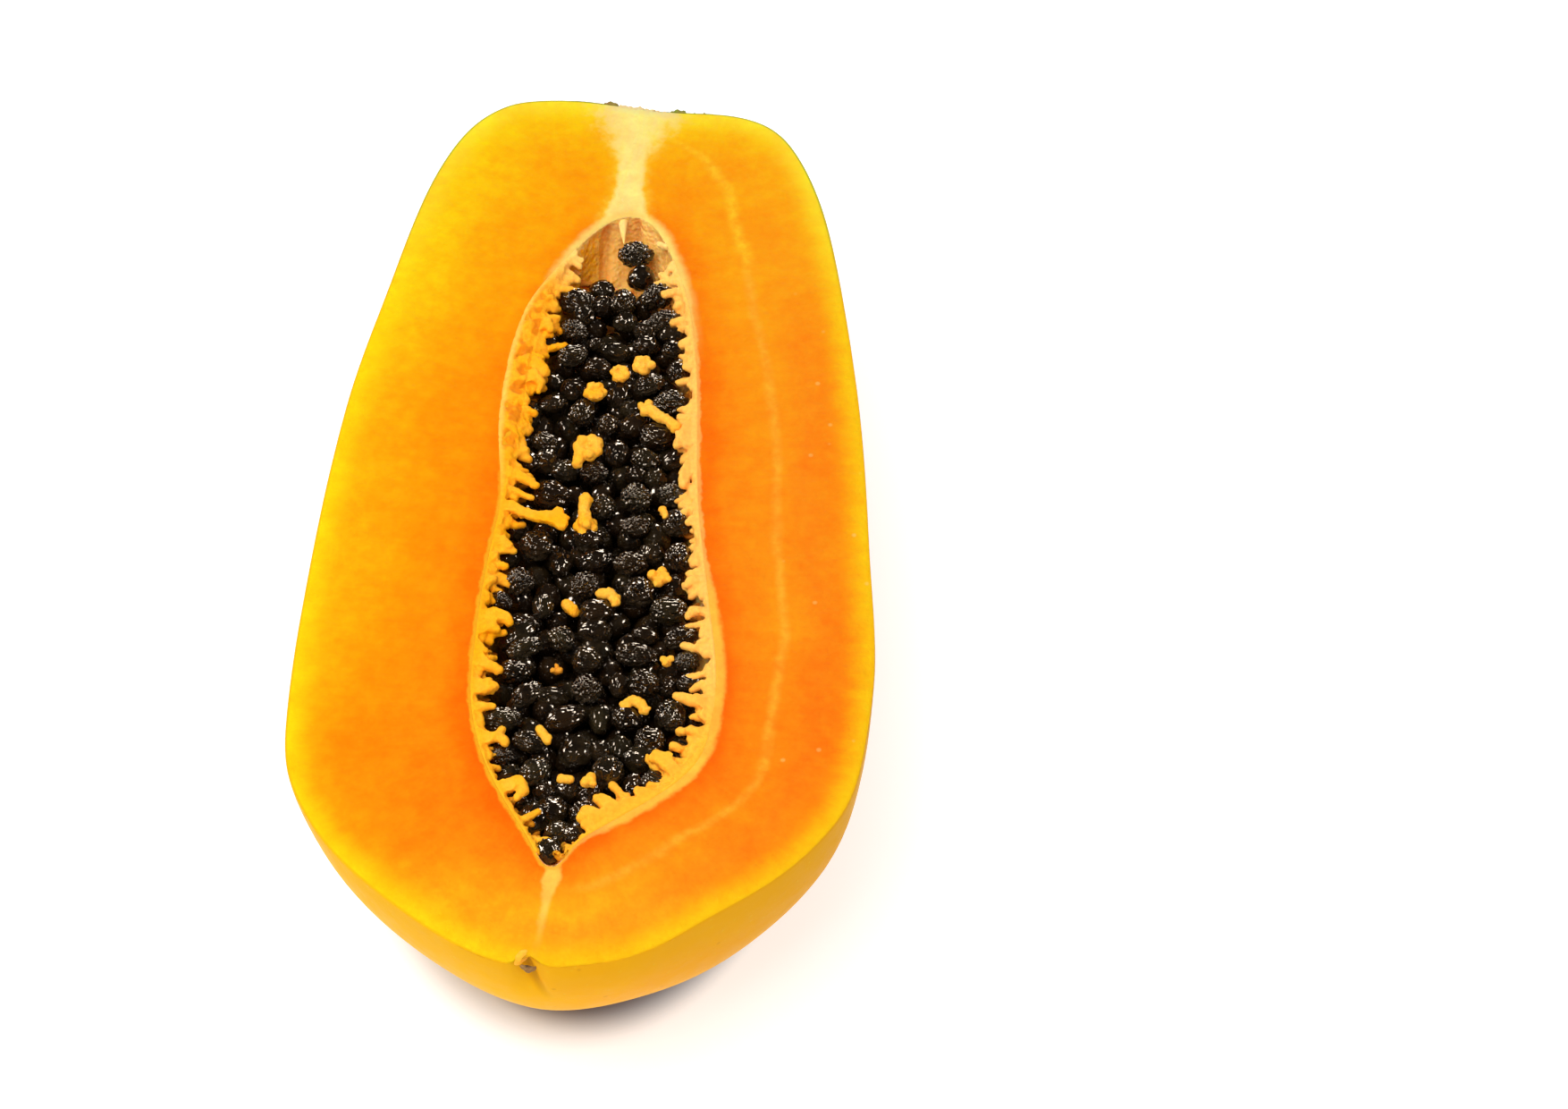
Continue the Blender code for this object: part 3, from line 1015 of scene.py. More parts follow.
core = mask_core(CORE_SOFTNESS)
torn_cells, _ = mottle(1.6 * MM, 0.7 * MM)
crusty = (torn_cells * 0.5 + 0.3) * rise(from_skin, 2.4 * MM, 0.8 * MM) * core
print("core: up to", round(WIDEST_CORE / MM), "mm")

# %% Add the pale seam at the blossom end, and lay both over the flesh
SEAM_COLOR = paint(253, 199, 78)
SEAM_FROM = spot(618, 974)
SEAM_TO = spot(600, 1060)
SEAM_HALF_WIDTHS = [(0.0, 0.45), (0.1, 0.60), (0.26, 0.38), (0.5, 0.24), (1.0, 0.14)]
WIDEST_SEAM = 2.2 * MM
SEAM_SOFTNESS = 0.9 * MM

seam, seam_way = mask_strip(SEAM_FROM, SEAM_TO, SEAM_FROM.y, SEAM_TO.y, SEAM_HALF_WIDTHS,
                            WIDEST_SEAM, SEAM_SOFTNESS)
seam = seam * rise(y, SEAM_FROM.y + 2 * MM, SEAM_FROM.y) * rise(seam_way, 1.1, 0.4)
flesh = layered(
    flesh,
    (seam, SEAM_COLOR),
    (mask_core(CORE_GLOW) * 0.75, CORE_EDGE),
    (core * (1.0 - quick_fibre * 0.25), CORE_COLOR),
    (crusty, CORE_CRUST),
)
print("seam:", round((SEAM_FROM - SEAM_TO).length / MM), "mm long")

# %% Add the creamy border of the cavity
BORDER_TOP = paint(253, 214, 110)
BORDER_LEFT = paint(252, 184, 36)
BORDER_RIGHT = paint(252, 184, 88)
BORDER_LOW = paint(253, 204, 72)
BORDER_REACH = 1.3 * MM
WIDER_LOW_RIGHT = 1.2 * MM
WIDER_LEFT = 2.6 * MM

frayed = quick * (0.5 * MM) + from_cavity
top_border = rise(frayed, 2.6 * MM, 0.7 * MM) * rise(y, 34 * MM, 66 * MM)
low_right = rise(y, -8 * MM, -22 * MM) * rise(x, 4 * MM, 10 * MM)
left_middle = rise(y, -5 * MM, 28 * MM) * rise(y, 60 * MM, 38 * MM) * rise(x, -4 * MM, -10 * MM)
border_reach = low_right * WIDER_LOW_RIGHT + left_middle * WIDER_LEFT + BORDER_REACH
thin_border = rise(frayed, border_reach, border_reach * 0.55)
thin_border = thin_border * (0.8 - left_middle * (1.0 - torn_cells) * 0.6)
border_sides = blend(rise(x, -6 * MM, 10 * MM), BORDER_LEFT, BORDER_RIGHT)
border_sides = blend(low_right, border_sides, BORDER_LOW)
flesh = layered(flesh, (thin_border, border_sides), (top_border, BORDER_TOP))
print("border: from", round(BORDER_REACH / MM, 1), "mm")

# %% Add pale specks, clouds, the peel, the grain and the shine
SOFT_SPECK = paint(254, 205, 110)
PEEL = 0.55 * MM
PEEL_GOLD = paint(248, 188, 20)
PEEL_GREEN = paint(176, 176, 44)

pale_specks = specks(3.0 * MM, 0.12, 0.2) * rise(x, 26 * MM, 38 * MM)
flesh = blend(pale_specks * 0.4, flesh, SOFT_SPECK)
slow_cloud, quick_cloud = mottle(9 * MM, 4.2 * MM)
tint = slow_fibre * 0.05 + 0.97
for pattern, strength in ((quick_fibre, 0.05), (quick, 0.13), (torn_cells, 0.06),
                          (slow_cloud, 0.14), (quick_cloud, 0.10)):
    tint = tint * (pattern * strength + (1 - strength / 2))
peel_color = blend(rise(y, 40 * MM, 88 * MM), PEEL_GOLD, PEEL_GREEN)
flesh = blend(rise(from_skin, PEEL, 0.4 * PEEL), yellowed(flesh, tint), peel_color)
finish_surface(flesh, roughness=quick * 0.14 + 0.34, specular=0.01,
               height=grain(0.7 * MM), strength=0.4, depth=0.3 * MM)
let_light_in(0.18, (1.0, 0.35, 0.08), 3 * MM)
print("cut flesh:", len(tree.nodes), "nodes")

# %% [markdown]
# ## The skin
# A ripe papaya is golden, greener towards the stalk, with a thin waxy gloss, tiny pale specks
# and faint darker freckles. The two scars have a corky, brownish skin of their own. The part of
# the skin that the photograph hides is finished in the same way.

# %% Paint the skin
SKIN_GOLD = (0.86, 0.42, 0.006, 1)
SKIN_ORANGE = (0.84, 0.35, 0.008, 1)
SKIN_YELLOW = (0.88, 0.50, 0.015, 1)
SKIN_AMBER = (0.70, 0.30, 0.012, 1)
SKIN_SHADE_UNDER_RIM = (0.70, 0.34, 0.004, 1)
SKIN_LIT_BY_TABLE = (0.96, 0.56, 0.12, 1)
CREASE_SHADE = (0.42, 0.18, 0.012, 1)
SKIN_GREEN = paint(150, 160, 44)
CORK_BROWN = paint(126, 96, 52)
FRECKLE = paint(196, 118, 26)
PALE_SPECK = paint(252, 208, 50)

shader = fresh_tree(bpy.data.materials["skin"])
position, x, y, z = object_place()
slow, quick = mottle(35 * MM, 3.5 * MM)
pores = specks(1.9 * MM, 0.6, 0.2)
under_cut = CUT_HEIGHT - z
crease_off = x - (BLOSSOM_SCAR.x - CREASE_WIDTH) - under_cut * CREASE_LEAN
in_crease = rise(abs(crease_off), 1.3 * MM, 0.1 * MM) * rise(under_cut, 14 * MM, 3 * MM)


def near_scar(scar, radius, soft):
    return rise(distance_to(scar) + quick * soft, radius + soft, radius)


cork = calculate("MAXIMUM", near_scar(STEM_SCAR, 6.0 * MM, 2.0 * MM),
                 near_scar(BLOSSOM_SCAR, 0.6 * MM, 1.1 * MM))
skin_color = layered(
    blend(slow, SKIN_GOLD, SKIN_ORANGE),
    (rise(z, 20 * MM, 52 * MM) * rise(x, 10 * MM, -45 * MM) * 0.8, SKIN_YELLOW),
    (rise(x, 5 * MM, 42 * MM) * 0.75, SKIN_AMBER),
    # Painted shade: the skin darker just under the cut rim, where the rim shades it.
    (rise(under_cut, 16 * MM, 0.0) * 0.6, SKIN_SHADE_UNDER_RIM),
    # Painted light: the skin paler towards the bottom, as lit by the white table below.
    (rise(z, 40 * MM, 12 * MM) * 0.36, SKIN_LIT_BY_TABLE),
    # Painted shade: darker in the crease below the blossom scar.
    (in_crease * rise(y, -84 * MM, -92 * MM) * 0.7, CREASE_SHADE),
    (rise(slow * (40 * MM) + y, 55 * MM, 125 * MM) * 0.85, SKIN_GREEN),
    (specks(4.5 * MM, 0.25, 0.13) * 0.25, FRECKLE),
    (pores * 0.25, PALE_SPECK),
    (cork, CORK_BROWN),
)
finish_surface(skin_color, roughness=cork * 0.4 + (quick * 0.12 + 0.36), specular=0.01,
               height=quick - pores * 0.6, strength=0.2, depth=0.3 * MM)
let_light_in(0.08, (1.0, 0.4, 0.1), 2 * MM)
print("skin:", len(tree.nodes), "nodes")

# %% [markdown]
# ## The bare wall of the cavity
# Where no seeds sit, at the stalk end, the wall is peach to tan, dull and granular. It lies in
# the shade of the cavity, so its own colour is much paler than it looks. Shade is painted along
# its grooves and deep down under the seeds.

# %% Paint the cavity wall
WALL_PEACH = (1.0, 0.58, 0.16, 1)
WALL_TAN = (1.0, 0.42, 0.08, 1)
WALL_ORANGE = (1.0, 0.37, 0.006, 1)
GROOVE_SHADE = (0.55, 0.19, 0.02, 1)
WALL_LIP = (1.0, 0.61, 0.16, 1)
SHADE_UNDER_SEEDS = (0.12, 0.035, 0.006, 1)

shader = fresh_tree(bpy.data.materials["cavity_wall"])
position, x, y, z = object_place()
slow, quick = mottle(4 * MM, 0.8 * MM)
under_cut = CUT_HEIGHT - z
left_wall = rise(x, GROOVES[0] + MM, GROOVES[0] - 3 * MM)
granules = left_wall * 0.6 + quick * (left_wall * 0.35 + 0.2)
wall_color = blend(granules, blend(slow, WALL_PEACH, WALL_TAN), WALL_ORANGE)
# Painted shade: darker along each groove.
for groove_x in GROOVES:
    off = abs(x - groove_x) + quick * (0.6 * MM) + slow * (0.5 * MM)
    wall_color = blend(rise(off, 1.5 * MM, 0.4 * MM) * 0.4, wall_color, GROOVE_SHADE)
# Painted shade: the wall dark deep down, under the seeds.
shaded_under_seeds = rise(under_cut, 7 * MM, 13 * MM) * rise(y, 60 * MM, 52 * MM)
lip = rise(y, 34 * MM, 60 * MM) * rise(under_cut + quick * (0.8 * MM), 2.4 * MM, 1.0 * MM)
wall_color = layered(wall_color, (shaded_under_seeds, SHADE_UNDER_SEEDS), (lip, WALL_LIP))
finish_surface(wall_color, roughness=0.55, specular=0.05,
               height=grain(0.7 * MM), strength=0.8, depth=0.5 * MM)
let_light_in(0.5, (1.0, 0.45, 0.12), 5 * MM)
print("cavity wall:", len(tree.nodes), "nodes")

# %% [markdown]
# ## Growing pieces from balls
# Soft tissue such as tufts, strands and lobes has no edges and no plan. The easy way to model
# it is to set down balls where the tissue is, and to let the Remesh modifier melt them into
# one skin, which the Smooth and Displace modifiers then make lumpy. A strand is a row of
# balls that shrink towards its tip. Thousands of objects are slow to join at once, so the
# balls are joined in clusters first.

# %% Set down balls and melt them together
BALL_DETAIL = 2
CLUSTER = 200
SMOOTH_FACTOR = 0.5


def lumpy_texture(name, size):
    clouds = bpy.data.textures.new(name, "CLOUDS")
    clouds.noise_scale = size
    clouds.noise_depth = 2
    return clouds


def join_all(objects):
    pick_only(objects[0])
    for obj in objects:
        obj.select_set(True)
    bpy.ops.object.join()
    return bpy.context.object


def melt_balls(name, balls, finest, lump_size, lump_height, smoothing):
    """Copies a ball to each place with its radius, and melts all of them into one piece."""
    bpy.ops.mesh.primitive_ico_sphere_add(subdivisions=BALL_DETAIL, radius=1)
    first = bpy.context.object
    clusters = []
    for start in range(0, len(balls), CLUSTER):
        copies = []
        for place, radius in balls[start:start + CLUSTER]:
            ball = new_object(name, first.data.copy())
            ball.data.transform(Matrix.Translation(place) @ Matrix.Scale(radius, 4))
            copies.append(ball)
        clusters.append(join_all(copies))
    bpy.data.objects.remove(first)
    piece = join_all(clusters)
    piece.name = name
    use_modifier(piece, "REMESH", mode="VOXEL", voxel_size=finest)
    use_modifier(piece, "SMOOTH", factor=SMOOTH_FACTOR, iterations=smoothing)
    use_modifier(piece, "DISPLACE", texture=lumpy_texture(name, lump_size),
                 strength=lump_height, mid_level=0.5)
    bpy.ops.object.shade_smooth()
    return piece


print("balls have", 20 * 4 ** (BALL_DETAIL - 1), "faces each")

# %% Line balls up along a path, and crumble them
STRAND_STEP = 0.45
CRUMB_REACH = 0.85
CRUMB_SIZES = (0.35, 0.6)


def strand(points):
    """Balls along a path of (place, radius), a fraction of a radius apart."""
    balls = []
    for (start, thick), (end, thin) in zip(points, points[1:]):
        count = max(1, round((end - start).length / (STRAND_STEP * min(thick, thin))))
        for number in range(count):
            share = number / count
            balls.append((start.lerp(end, share), thick + (thin - thick) * share))
    balls.append(points[-1])
    return balls


def seen(*points, below):
    """A path of (pixel_x, pixel_y, radius in mm), this many mm below the cut."""
    return [(spot(x, y, below * MM), radius * MM) for x, y, radius in points]


def anywhere(chance):
    """A direction of length 1, any way round."""
    return Vector([chance.gauss(0, 1) for _ in range(3)]).normalized()


def crumbled(balls, chance, share=0.7):
    """The balls, with smaller ones stuck on at random, as on torn tissue."""
    crumbs = []
    for place, radius in balls:
        crumbs.append((place, radius))
        if chance.random() < share:
            aside = anywhere(chance) * radius * CRUMB_REACH
            crumbs.append((place + aside, radius * chance.uniform(*CRUMB_SIZES)))
    return crumbs


print("balls in a strand of 5 mm:",
      len(strand([(Vector(), 1 * MM), (Vector((0, 0, 5 * MM)), 1 * MM)])))

# %% [markdown]
# ## Scars and the spike of the core
# The stalk left a shallow, ragged scar: green and brown lumps with a pale middle along the
# edge of the cut. At the blossom end sits a tiny dark scar with a yellow bump beside it. The
# pale core ends in a spike that hangs into the cavity.

# %% Grow the stalk scar
STEM_LUMPS = [
    (676, 0.35, 0.0), (682, 0.7, -0.25), (688, 0.6, -0.1), (752, 0.4, 0.1), (758, 0.75, -0.25),
    (764, 0.7, -0.1), (777, 0.4, 0.1), (788, 0.35, 0.0),
]
PALE_LUMPS = [
    (694, 0.5, 0.3), (699, 0.7, 0.3), (705, 0.8, 0.3), (711, 0.9, 0.4), (717, 0.9, 0.4),
    (723, 0.8, 0.5), (729, 0.7, 0.5), (736, 0.5, 0.5), (744, 0.5, 0.5),
]
STEM_RIM_PIXEL_Y = 122
BELOW_CUT = 1.6 * MM
OUTSIDE_END = 3 * MM
SCAR_RING = 6.6 * MM
SCAR_RING_LUMPS = 24
SCAR_CRUST_LUMPS = 60

chance = random.Random(5)
stem_rim = skin_rim[skin_rim[:, 1] > STEM_SCAR.y - END_REACH]
stem_rim = stem_rim[np.argsort(stem_rim[:, 0])]
fruit_surface = BVHTree.FromObject(fruit, bpy.context.evaluated_depsgraph_get())


def lumps_on_rim(lumps):
    """Balls on the stalk's rim, from (pixel_x, radius, how far inside the rim) in mm."""
    balls = []
    for pixel_x, radius, inside in lumps:
        across = spot(pixel_x, STEM_RIM_PIXEL_Y).x
        back = np.interp(across, stem_rim[:, 0], stem_rim[:, 1])
        middle = Vector((across, back - inside * MM, CUT_HEIGHT - radius * MM))
        balls.append((middle, radius * MM))
    return balls


def on_stalk_end(turn, reach):
    """The place on the skin at this turn and distance from the scar's middle."""
    below = max(reach * math.sin(turn), BELOW_CUT)
    outside = Vector((reach * math.cos(turn), OUTSIDE_END, -below))
    return fruit_surface.find_nearest(STEM_SCAR + outside)[0]


scar_balls = lumps_on_rim(STEM_LUMPS)
for number in range(SCAR_RING_LUMPS):
    turn = math.pi * (number + 0.5) / SCAR_RING_LUMPS
    place = on_stalk_end(turn, SCAR_RING * chance.uniform(0.88, 1.08))
    scar_balls.append((place, chance.uniform(0.5, 0.95) * MM))
for number in range(SCAR_CRUST_LUMPS):
    reach = SCAR_RING * math.sqrt(chance.random())
    place = on_stalk_end(math.pi * chance.uniform(0.04, 0.96), reach)
    scar_balls.append((place, chance.uniform(0.3, 0.6) * MM))
core_balls = crumbled(lumps_on_rim(PALE_LUMPS), chance)
stem_scar = melt_balls("stalk_scar", scar_balls, 0.22 * MM, 1.0 * MM, 0.45 * MM, 1)
stem_core = melt_balls("stalk_core", core_balls, 0.2 * MM, 0.9 * MM, 0.4 * MM, 1)
print("stalk scar:", len(stem_scar.data.polygons), "faces")

# %% Grow the blossom scar, its bump and the spike
SCAR_PATH = [(584, 1081, 0.4), (591, 1084, 0.6), (598, 1083, 0.4)]
BUMP_PATH = [(591, 1062, 0.7), (585, 1068, 1.0), (578, 1074, 0.9)]
SPIKE_ROOT = [(697, 229, 1.5), (697, 242, 1.15)]
SPIKE_TIP = [(697, 257, 0.7), (698, 273, 0.15)]

blossom_scar = melt_balls("blossom_scar", strand(seen(*SCAR_PATH, below=0.6)), 0.15 * MM,
                          0.5 * MM, 0.4 * MM, 1)
blossom_bump = melt_balls("blossom_bump", strand(seen(*BUMP_PATH, below=0.85)), 0.18 * MM,
                          1.0 * MM, 0.3 * MM, 2)
spike_balls = strand(seen(*SPIKE_ROOT, below=1.5) + seen(*SPIKE_TIP, below=1.3))
core_spike = melt_balls("core_spike", spike_balls, 0.15 * MM, 1.5 * MM, 0.15 * MM, 2)
print("spike", round(core_spike.dimensions.y / MM, 1), "mm long")

# %% [markdown]
# ## The seeds
# Each seed wears a wet, near-black coat. Some coats look like a blackberry, some are ridged
# lengthwise and some are nearly smooth. So a few coats are modelled once: a ball gets its
# pebbles from a Voronoi texture in a Displace modifier, an empty stretches that pattern for
# the ridged ones, a Clouds texture adds dents, and a taper makes it egg-shaped. Then each seed
# is a copy of one of them, fitted to the measured seed that it stands for.

# %% Model the seed coats
SEED_COATS = {
    "berry": {"cell": 0.28, "bump": 0.42, "stretch": 1.1, "dent": 0.06, "taper": 0.12},
    "pebbly": {"cell": 0.28, "bump": 0.26, "stretch": 1.5, "dent": 0.12, "taper": 0.18},
    "knobbly": {"cell": 0.36, "bump": 0.28, "stretch": 1.3, "dent": 0.16, "taper": 0.10},
    "ridged": {"cell": 0.26, "bump": 0.26, "stretch": 3.4, "dent": 0.10, "taper": 0.20},
    "folded": {"cell": 0.34, "bump": 0.28, "stretch": 2.6, "dent": 0.16, "taper": 0.15},
    "smooth": {"cell": 0.40, "bump": 0.20, "stretch": 1.6, "dent": 0.12, "taper": 0.22},
}
OPEN_DETAIL = 5
TUCKED_DETAIL = 4
DEEP_DETAIL = 2
DENT_SIZE = 0.9
PEBBLE_LEVEL = 0.2
SHIFT_PER_LETTER = 1.7
SHIFT_PER_CELL = 9


def model_seed_coat(name, detail, cell, bump, stretch, dent, taper):
    """A seed of half length 1 along X, wrapped in a pebbled coat."""
    bpy.ops.mesh.primitive_ico_sphere_add(subdivisions=detail, radius=1)
    seed = bpy.context.object
    seed.name = name
    pebbles = bpy.data.textures.new(name + "_pebbles", "VORONOI")
    pebbles.noise_scale = cell
    pebbles.distance_metric = "DISTANCE_SQUARED"
    bpy.ops.object.empty_add(location=(len(name) * SHIFT_PER_LETTER, cell * SHIFT_PER_CELL, 0))
    stretcher = bpy.context.object
    stretcher.scale = (stretch, 1, 1)
    bpy.context.view_layer.update()
    use_modifier(seed, "DISPLACE", texture=pebbles, strength=-bump, mid_level=PEBBLE_LEVEL,
                 texture_coords="OBJECT", texture_coords_object=stretcher)
    bpy.data.objects.remove(stretcher)
    use_modifier(seed, "DISPLACE", texture=lumpy_texture(name + "_dents", DENT_SIZE),
                 strength=dent, mid_level=0.5)
    use_modifier(seed, "SIMPLE_DEFORM", deform_method="TAPER", deform_axis="X", factor=taper)
    bpy.ops.object.shade_smooth()
    start_editing(seed)
    bpy.ops.mesh.select_all(action="SELECT")
    bpy.ops.transform.resize(value=[2 / side for side in seed.dimensions])
    stop_editing()
    return seed


coats = {
    detail: [model_seed_coat(f"{name}_coat_{detail}", detail, **coat)
             for name, coat in SEED_COATS.items()]
    for detail in (OPEN_DETAIL, TUCKED_DETAIL, DEEP_DETAIL)
}
print("seed coats:", list(SEED_COATS), "faces", [20 * 4 ** (detail - 1) for detail in coats])

# %% Copy a coat to each open seed
seed_nodes = sorted(name for name in frame["nodes"] if name.startswith("seed_")
                    and name != "seed_bed")
BERRY_SEEDS = [spot(718, 283), spot(665, 525), spot(738, 326)]
BERRY_REACH = 3.5 * MM
FILM_BELOW = 0.75
FILM_EDGE = 2.2
chance = random.Random(11)
seed_pieces = []


def seed_axes(points):
    """The middle of a seed, its three directions from long to short, and its half sizes."""
    middle = (points.max(axis=0) + points.min(axis=0)) / 2
    spread = points - points.mean(axis=0)
    _, directions = np.linalg.eigh(spread.T @ spread)
    directions = directions[:, ::-1]
    if np.linalg.det(directions) < 0:
        directions[:, 2] *= -1
    local = (points - middle) @ directions
    middle = middle + directions @ ((local.max(axis=0) + local.min(axis=0)) / 2)
    return middle, directions, (local.max(axis=0) - local.min(axis=0)) / 2


def place_seed(name, coat, middle, directions, half_sizes, tone, film):
    """A copy of a coat at its place, with its own tone and share of pale film."""
    seed = new_object(name, coat.data.copy())
    placed = points_of(seed.data) * half_sizes @ np.array(directions).T + middle
    move_points(seed.data, placed)
    height = (placed[:, 2] - placed[:, 2].min()) / np.ptp(placed[:, 2])
    store(seed, "tone", np.full(len(placed), tone))
    store(seed, "film", np.clip((FILM_BELOW - height) * FILM_EDGE, 0, 1) * film)
    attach(seed, "root")
    seed_pieces.append(seed)
    return seed


for node_name in seed_nodes:
    middle, directions, half_sizes = seed_axes(points_of(frame["nodes"][node_name].data))
    coat = chance.choice(coats[OPEN_DETAIL])
    seed_tone = chance.random()
    seed_film = chance.choice((0.0, 0.2, 0.6))
    if min((Vector(middle).xy - berry.xy).length for berry in BERRY_SEEDS) < BERRY_REACH:
        coat = coats[OPEN_DETAIL][0]
        seed_film = 0.0
        print("blackberry coat:", node_name)
    seed = place_seed(f"open_{node_name}", coat, middle, directions, half_sizes, seed_tone,
                      seed_film)
    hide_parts(node_name)
print("open seeds:", len(seed_pieces), "half sizes of the last in mm:",
      [round(value / MM, 1) for value in half_sizes])

# %% [markdown]
# ## Seeds between and below
# Smaller parts of seeds show between the open ones. Those were read off the photograph one by
# one: how far across and along the fruit they lie, their length and width, and their turn.
# Under them the cavity is filled layer by layer with deep seeds of only a few faces, wherever
# the wall leaves room.

# %% Tuck seeds in between
AXIS_X = -3.3 * MM
BLOSSOM_Y = cad_box[0].y
TUCKED_SEEDS = [
    (4.5, 159.5, 4.3, 4.1, 5), (-2.5, 156, 4, 3.2, 5), (-2, 152, 3.5, 3.5, 5),
    (-5.5, 149.5, 4.1, 3.8, 5), (2.5, 148.5, 3.8, 3.2, 5), (12, 145.5, 5.1, 3.5, 5),
    (6.5, 146.5, 3.8, 3.5, 5), (7, 143, 4.3, 3.2, 5), (-11.5, 142, 4.4, 3.8, 5),
    (-2, 142.5, 2.9, 2.2, 5), (1.5, 141, 4.8, 3.2, 5), (3, 130.5, 4.8, 4.1, 90),
    (-9, 133, 3.2, 2.5, 5), (-5.5, 131.5, 3.8, 3.5, 5), (-9, 127.5, 5.1, 2.9, 5),
    (-13, 124.5, 4.8, 4.1, 90), (5.5, 127.5, 3.2, 2.9, 5), (6.5, 123.5, 5.4, 3.8, 30),
    (15.5, 124, 2.9, 2.5, 5), (-13.5, 118.5, 4.4, 3.2, -20), (-12, 113.5, 5.1, 3.5, -20),
    (-8.5, 114, 4.1, 4.1, 5), (4, 116.5, 4.4, 4, 90), (15, 116.5, 5.4, 3.2, 35),
    (-5, 112, 4.4, 3.5, 5), (8, 112, 3.5, 2.9, 5), (11.5, 111.5, 3.5, 3.2, 5),
    (-12, 97.5, 4.1, 3.2, 30), (-3.5, 90.5, 4.8, 3.5, 90), (-13, 91, 3.5, 2.7, 5),
    (2.5, 91.5, 6, 3.8, 5), (12.5, 94, 4.1, 3.5, 5), (17, 87, 3.8, 3.5, 5),
    (-8.5, 77, 4.8, 2.2, -20), (-9.5, 73.5, 6.3, 3.8, 35), (4, 75.5, 5.1, 3.8, 5),
    (13, 75.5, 4.1, 2.7, 5), (9.5, 64, 3.8, 3.2, 85), (18, 64.5, 3.5, 2.9, 85),
    (-2, 60.5, 5.4, 3.2, 5), (7, 56, 4.4, 3.5, 90), (23.5, 57, 4.1, 2.5, 85),
    (22, 50, 5.4, 4.1, -55), (3.5, 49, 5.4, 4.9, 40), (11, 50, 4.1, 3.8, 85),
    (14.5, 48, 5.1, 4.4, 5), (-8.5, 43, 5.4, 2.9, 10), (14, 42, 4.8, 3.5, 80),
    (-1, 40, 3.8, 3.2, 5), (3, 40.5, 3.8, 3.5, 5), (6.5, 40, 4.4, 3.2, 30),
    (-5.5, 37.5, 3.8, 2.5, -20), (-2.5, 34, 5.4, 4.4, 70), (0.5, 36, 4.8, 4.4, 5),
    (7.5, 49.5, 3.8, 3.2, 5),
]
TUCKED_DEPTH = 4.5 * MM
ROUNDER = 1.25
THICKER = 1.05
MOST_TILT = 25

for number, (across, along, length, width, turn) in enumerate(TUCKED_SEEDS):
    middle = (AXIS_X + across * MM, BLOSSOM_Y + along * MM, CUT_HEIGHT - TUCKED_DEPTH)
    tilt = math.radians(chance.uniform(-MOST_TILT, MOST_TILT))
    turned = Euler((tilt, tilt, math.radians(turn))).to_matrix()
    half_sizes = np.array([length, width, width * THICKER]) * ROUNDER * MM / 2
    place_seed(f"tucked_seed_{number + 1:02d}", chance.choice(coats[TUCKED_DETAIL]), middle,
               turned, half_sizes, chance.random(), chance.choice((0.0, 0.5)))

# %% Put the last seeds into the narrow end
TIP_SEEDS = [(613, 953, 5.4, 5.0, 60, 2.0), (644, 934, 5.2, 4.6, 20, 3.0)]

for number, (pixel_x, pixel_y, length, width, turn, below) in enumerate(TIP_SEEDS):
    turned = Euler((0, 0, math.radians(turn))).to_matrix()
    half_sizes = np.array([length, width, width]) * MM / 2
    place_seed(f"tucked_seed_tip_{number + 1}", coats[TUCKED_DETAIL][number],
               spot(pixel_x, pixel_y, below * MM), turned, half_sizes, chance.random(), 0.0)
print("tucked seeds:", len(TUCKED_SEEDS) + len(TIP_SEEDS))

# %% Find out how much room is left in the cavity
def inside_rim(point, rim):
    """Whether a rim goes round a point, seen from above."""
    ahead = (rim[:-1, 1] > point.y) != (rim[1:, 1] > point.y)
    starts, ends = rim[:-1][ahead], rim[1:][ahead]
    crossings = starts[:, 0] + (point.y - starts[:, 1]) * (ends[:, 0] - starts[:, 0]) / (
        ends[:, 1] - starts[:, 1])
    return (crossings > point.x).sum() % 2 == 1


def room_in_cavity(point):
    """How far a point in the cavity is from its wall; negative anywhere else."""
    nearest, facing, _, distance = fruit_surface.find_nearest(point)
    in_the_open = (point - nearest).dot(facing) > 0 and inside_rim(point, cavity_rim)
    return distance if in_the_open else -distance


middle_of_cavity = Vector(cavity_rim.mean(axis=0))
print("room in the middle:", round(room_in_cavity(middle_of_cavity) / MM, 1), "mm")

# %% Fill the cavity below with deep seeds
DEEP_LAYERS = [44.6, 40.4, 36.0]
DEEP_COLUMNS = range(-6, 9)
DEEP_SPACING = 5.0 * MM
WIDER_ACROSS = 1.05
DEEP_HALF_SIZE = np.array([3.1, 2.6, 2.5]) * MM
ROOM_TO_WALL = 2.2 * MM
BED_START, BED_END = 24 * MM, 160 * MM

deep_seeds = []
for layer, height in enumerate(DEEP_LAYERS):
    for row in range(int((BED_END - BED_START) / DEEP_SPACING)):
        for column in DEEP_COLUMNS:
            shift = 0.5 * ((row + layer) % 2)
            across = (column + shift) * DEEP_SPACING * WIDER_ACROSS
            point = Vector((
                AXIS_X + across + chance.uniform(-0.7, 0.7) * MM,
                BLOSSOM_Y + BED_START + row * DEEP_SPACING + chance.uniform(-0.7, 0.7) * MM,
                height * MM + chance.uniform(-0.9, 0.6) * MM,
            ))
            if room_in_cavity(point) < ROOM_TO_WALL:
                continue
            turned = Euler([chance.uniform(0, math.tau) for _ in range(3)]).to_matrix()
            size = DEEP_HALF_SIZE * chance.uniform(0.88, 1.08)
            coat = chance.choice(coats[DEEP_DETAIL])
            deep_seeds.append(place_seed(f"deep_seed_{len(deep_seeds)}", coat, point, turned,
                                         size, chance.random(), 0.0))
print("deep seeds:", len(deep_seeds))

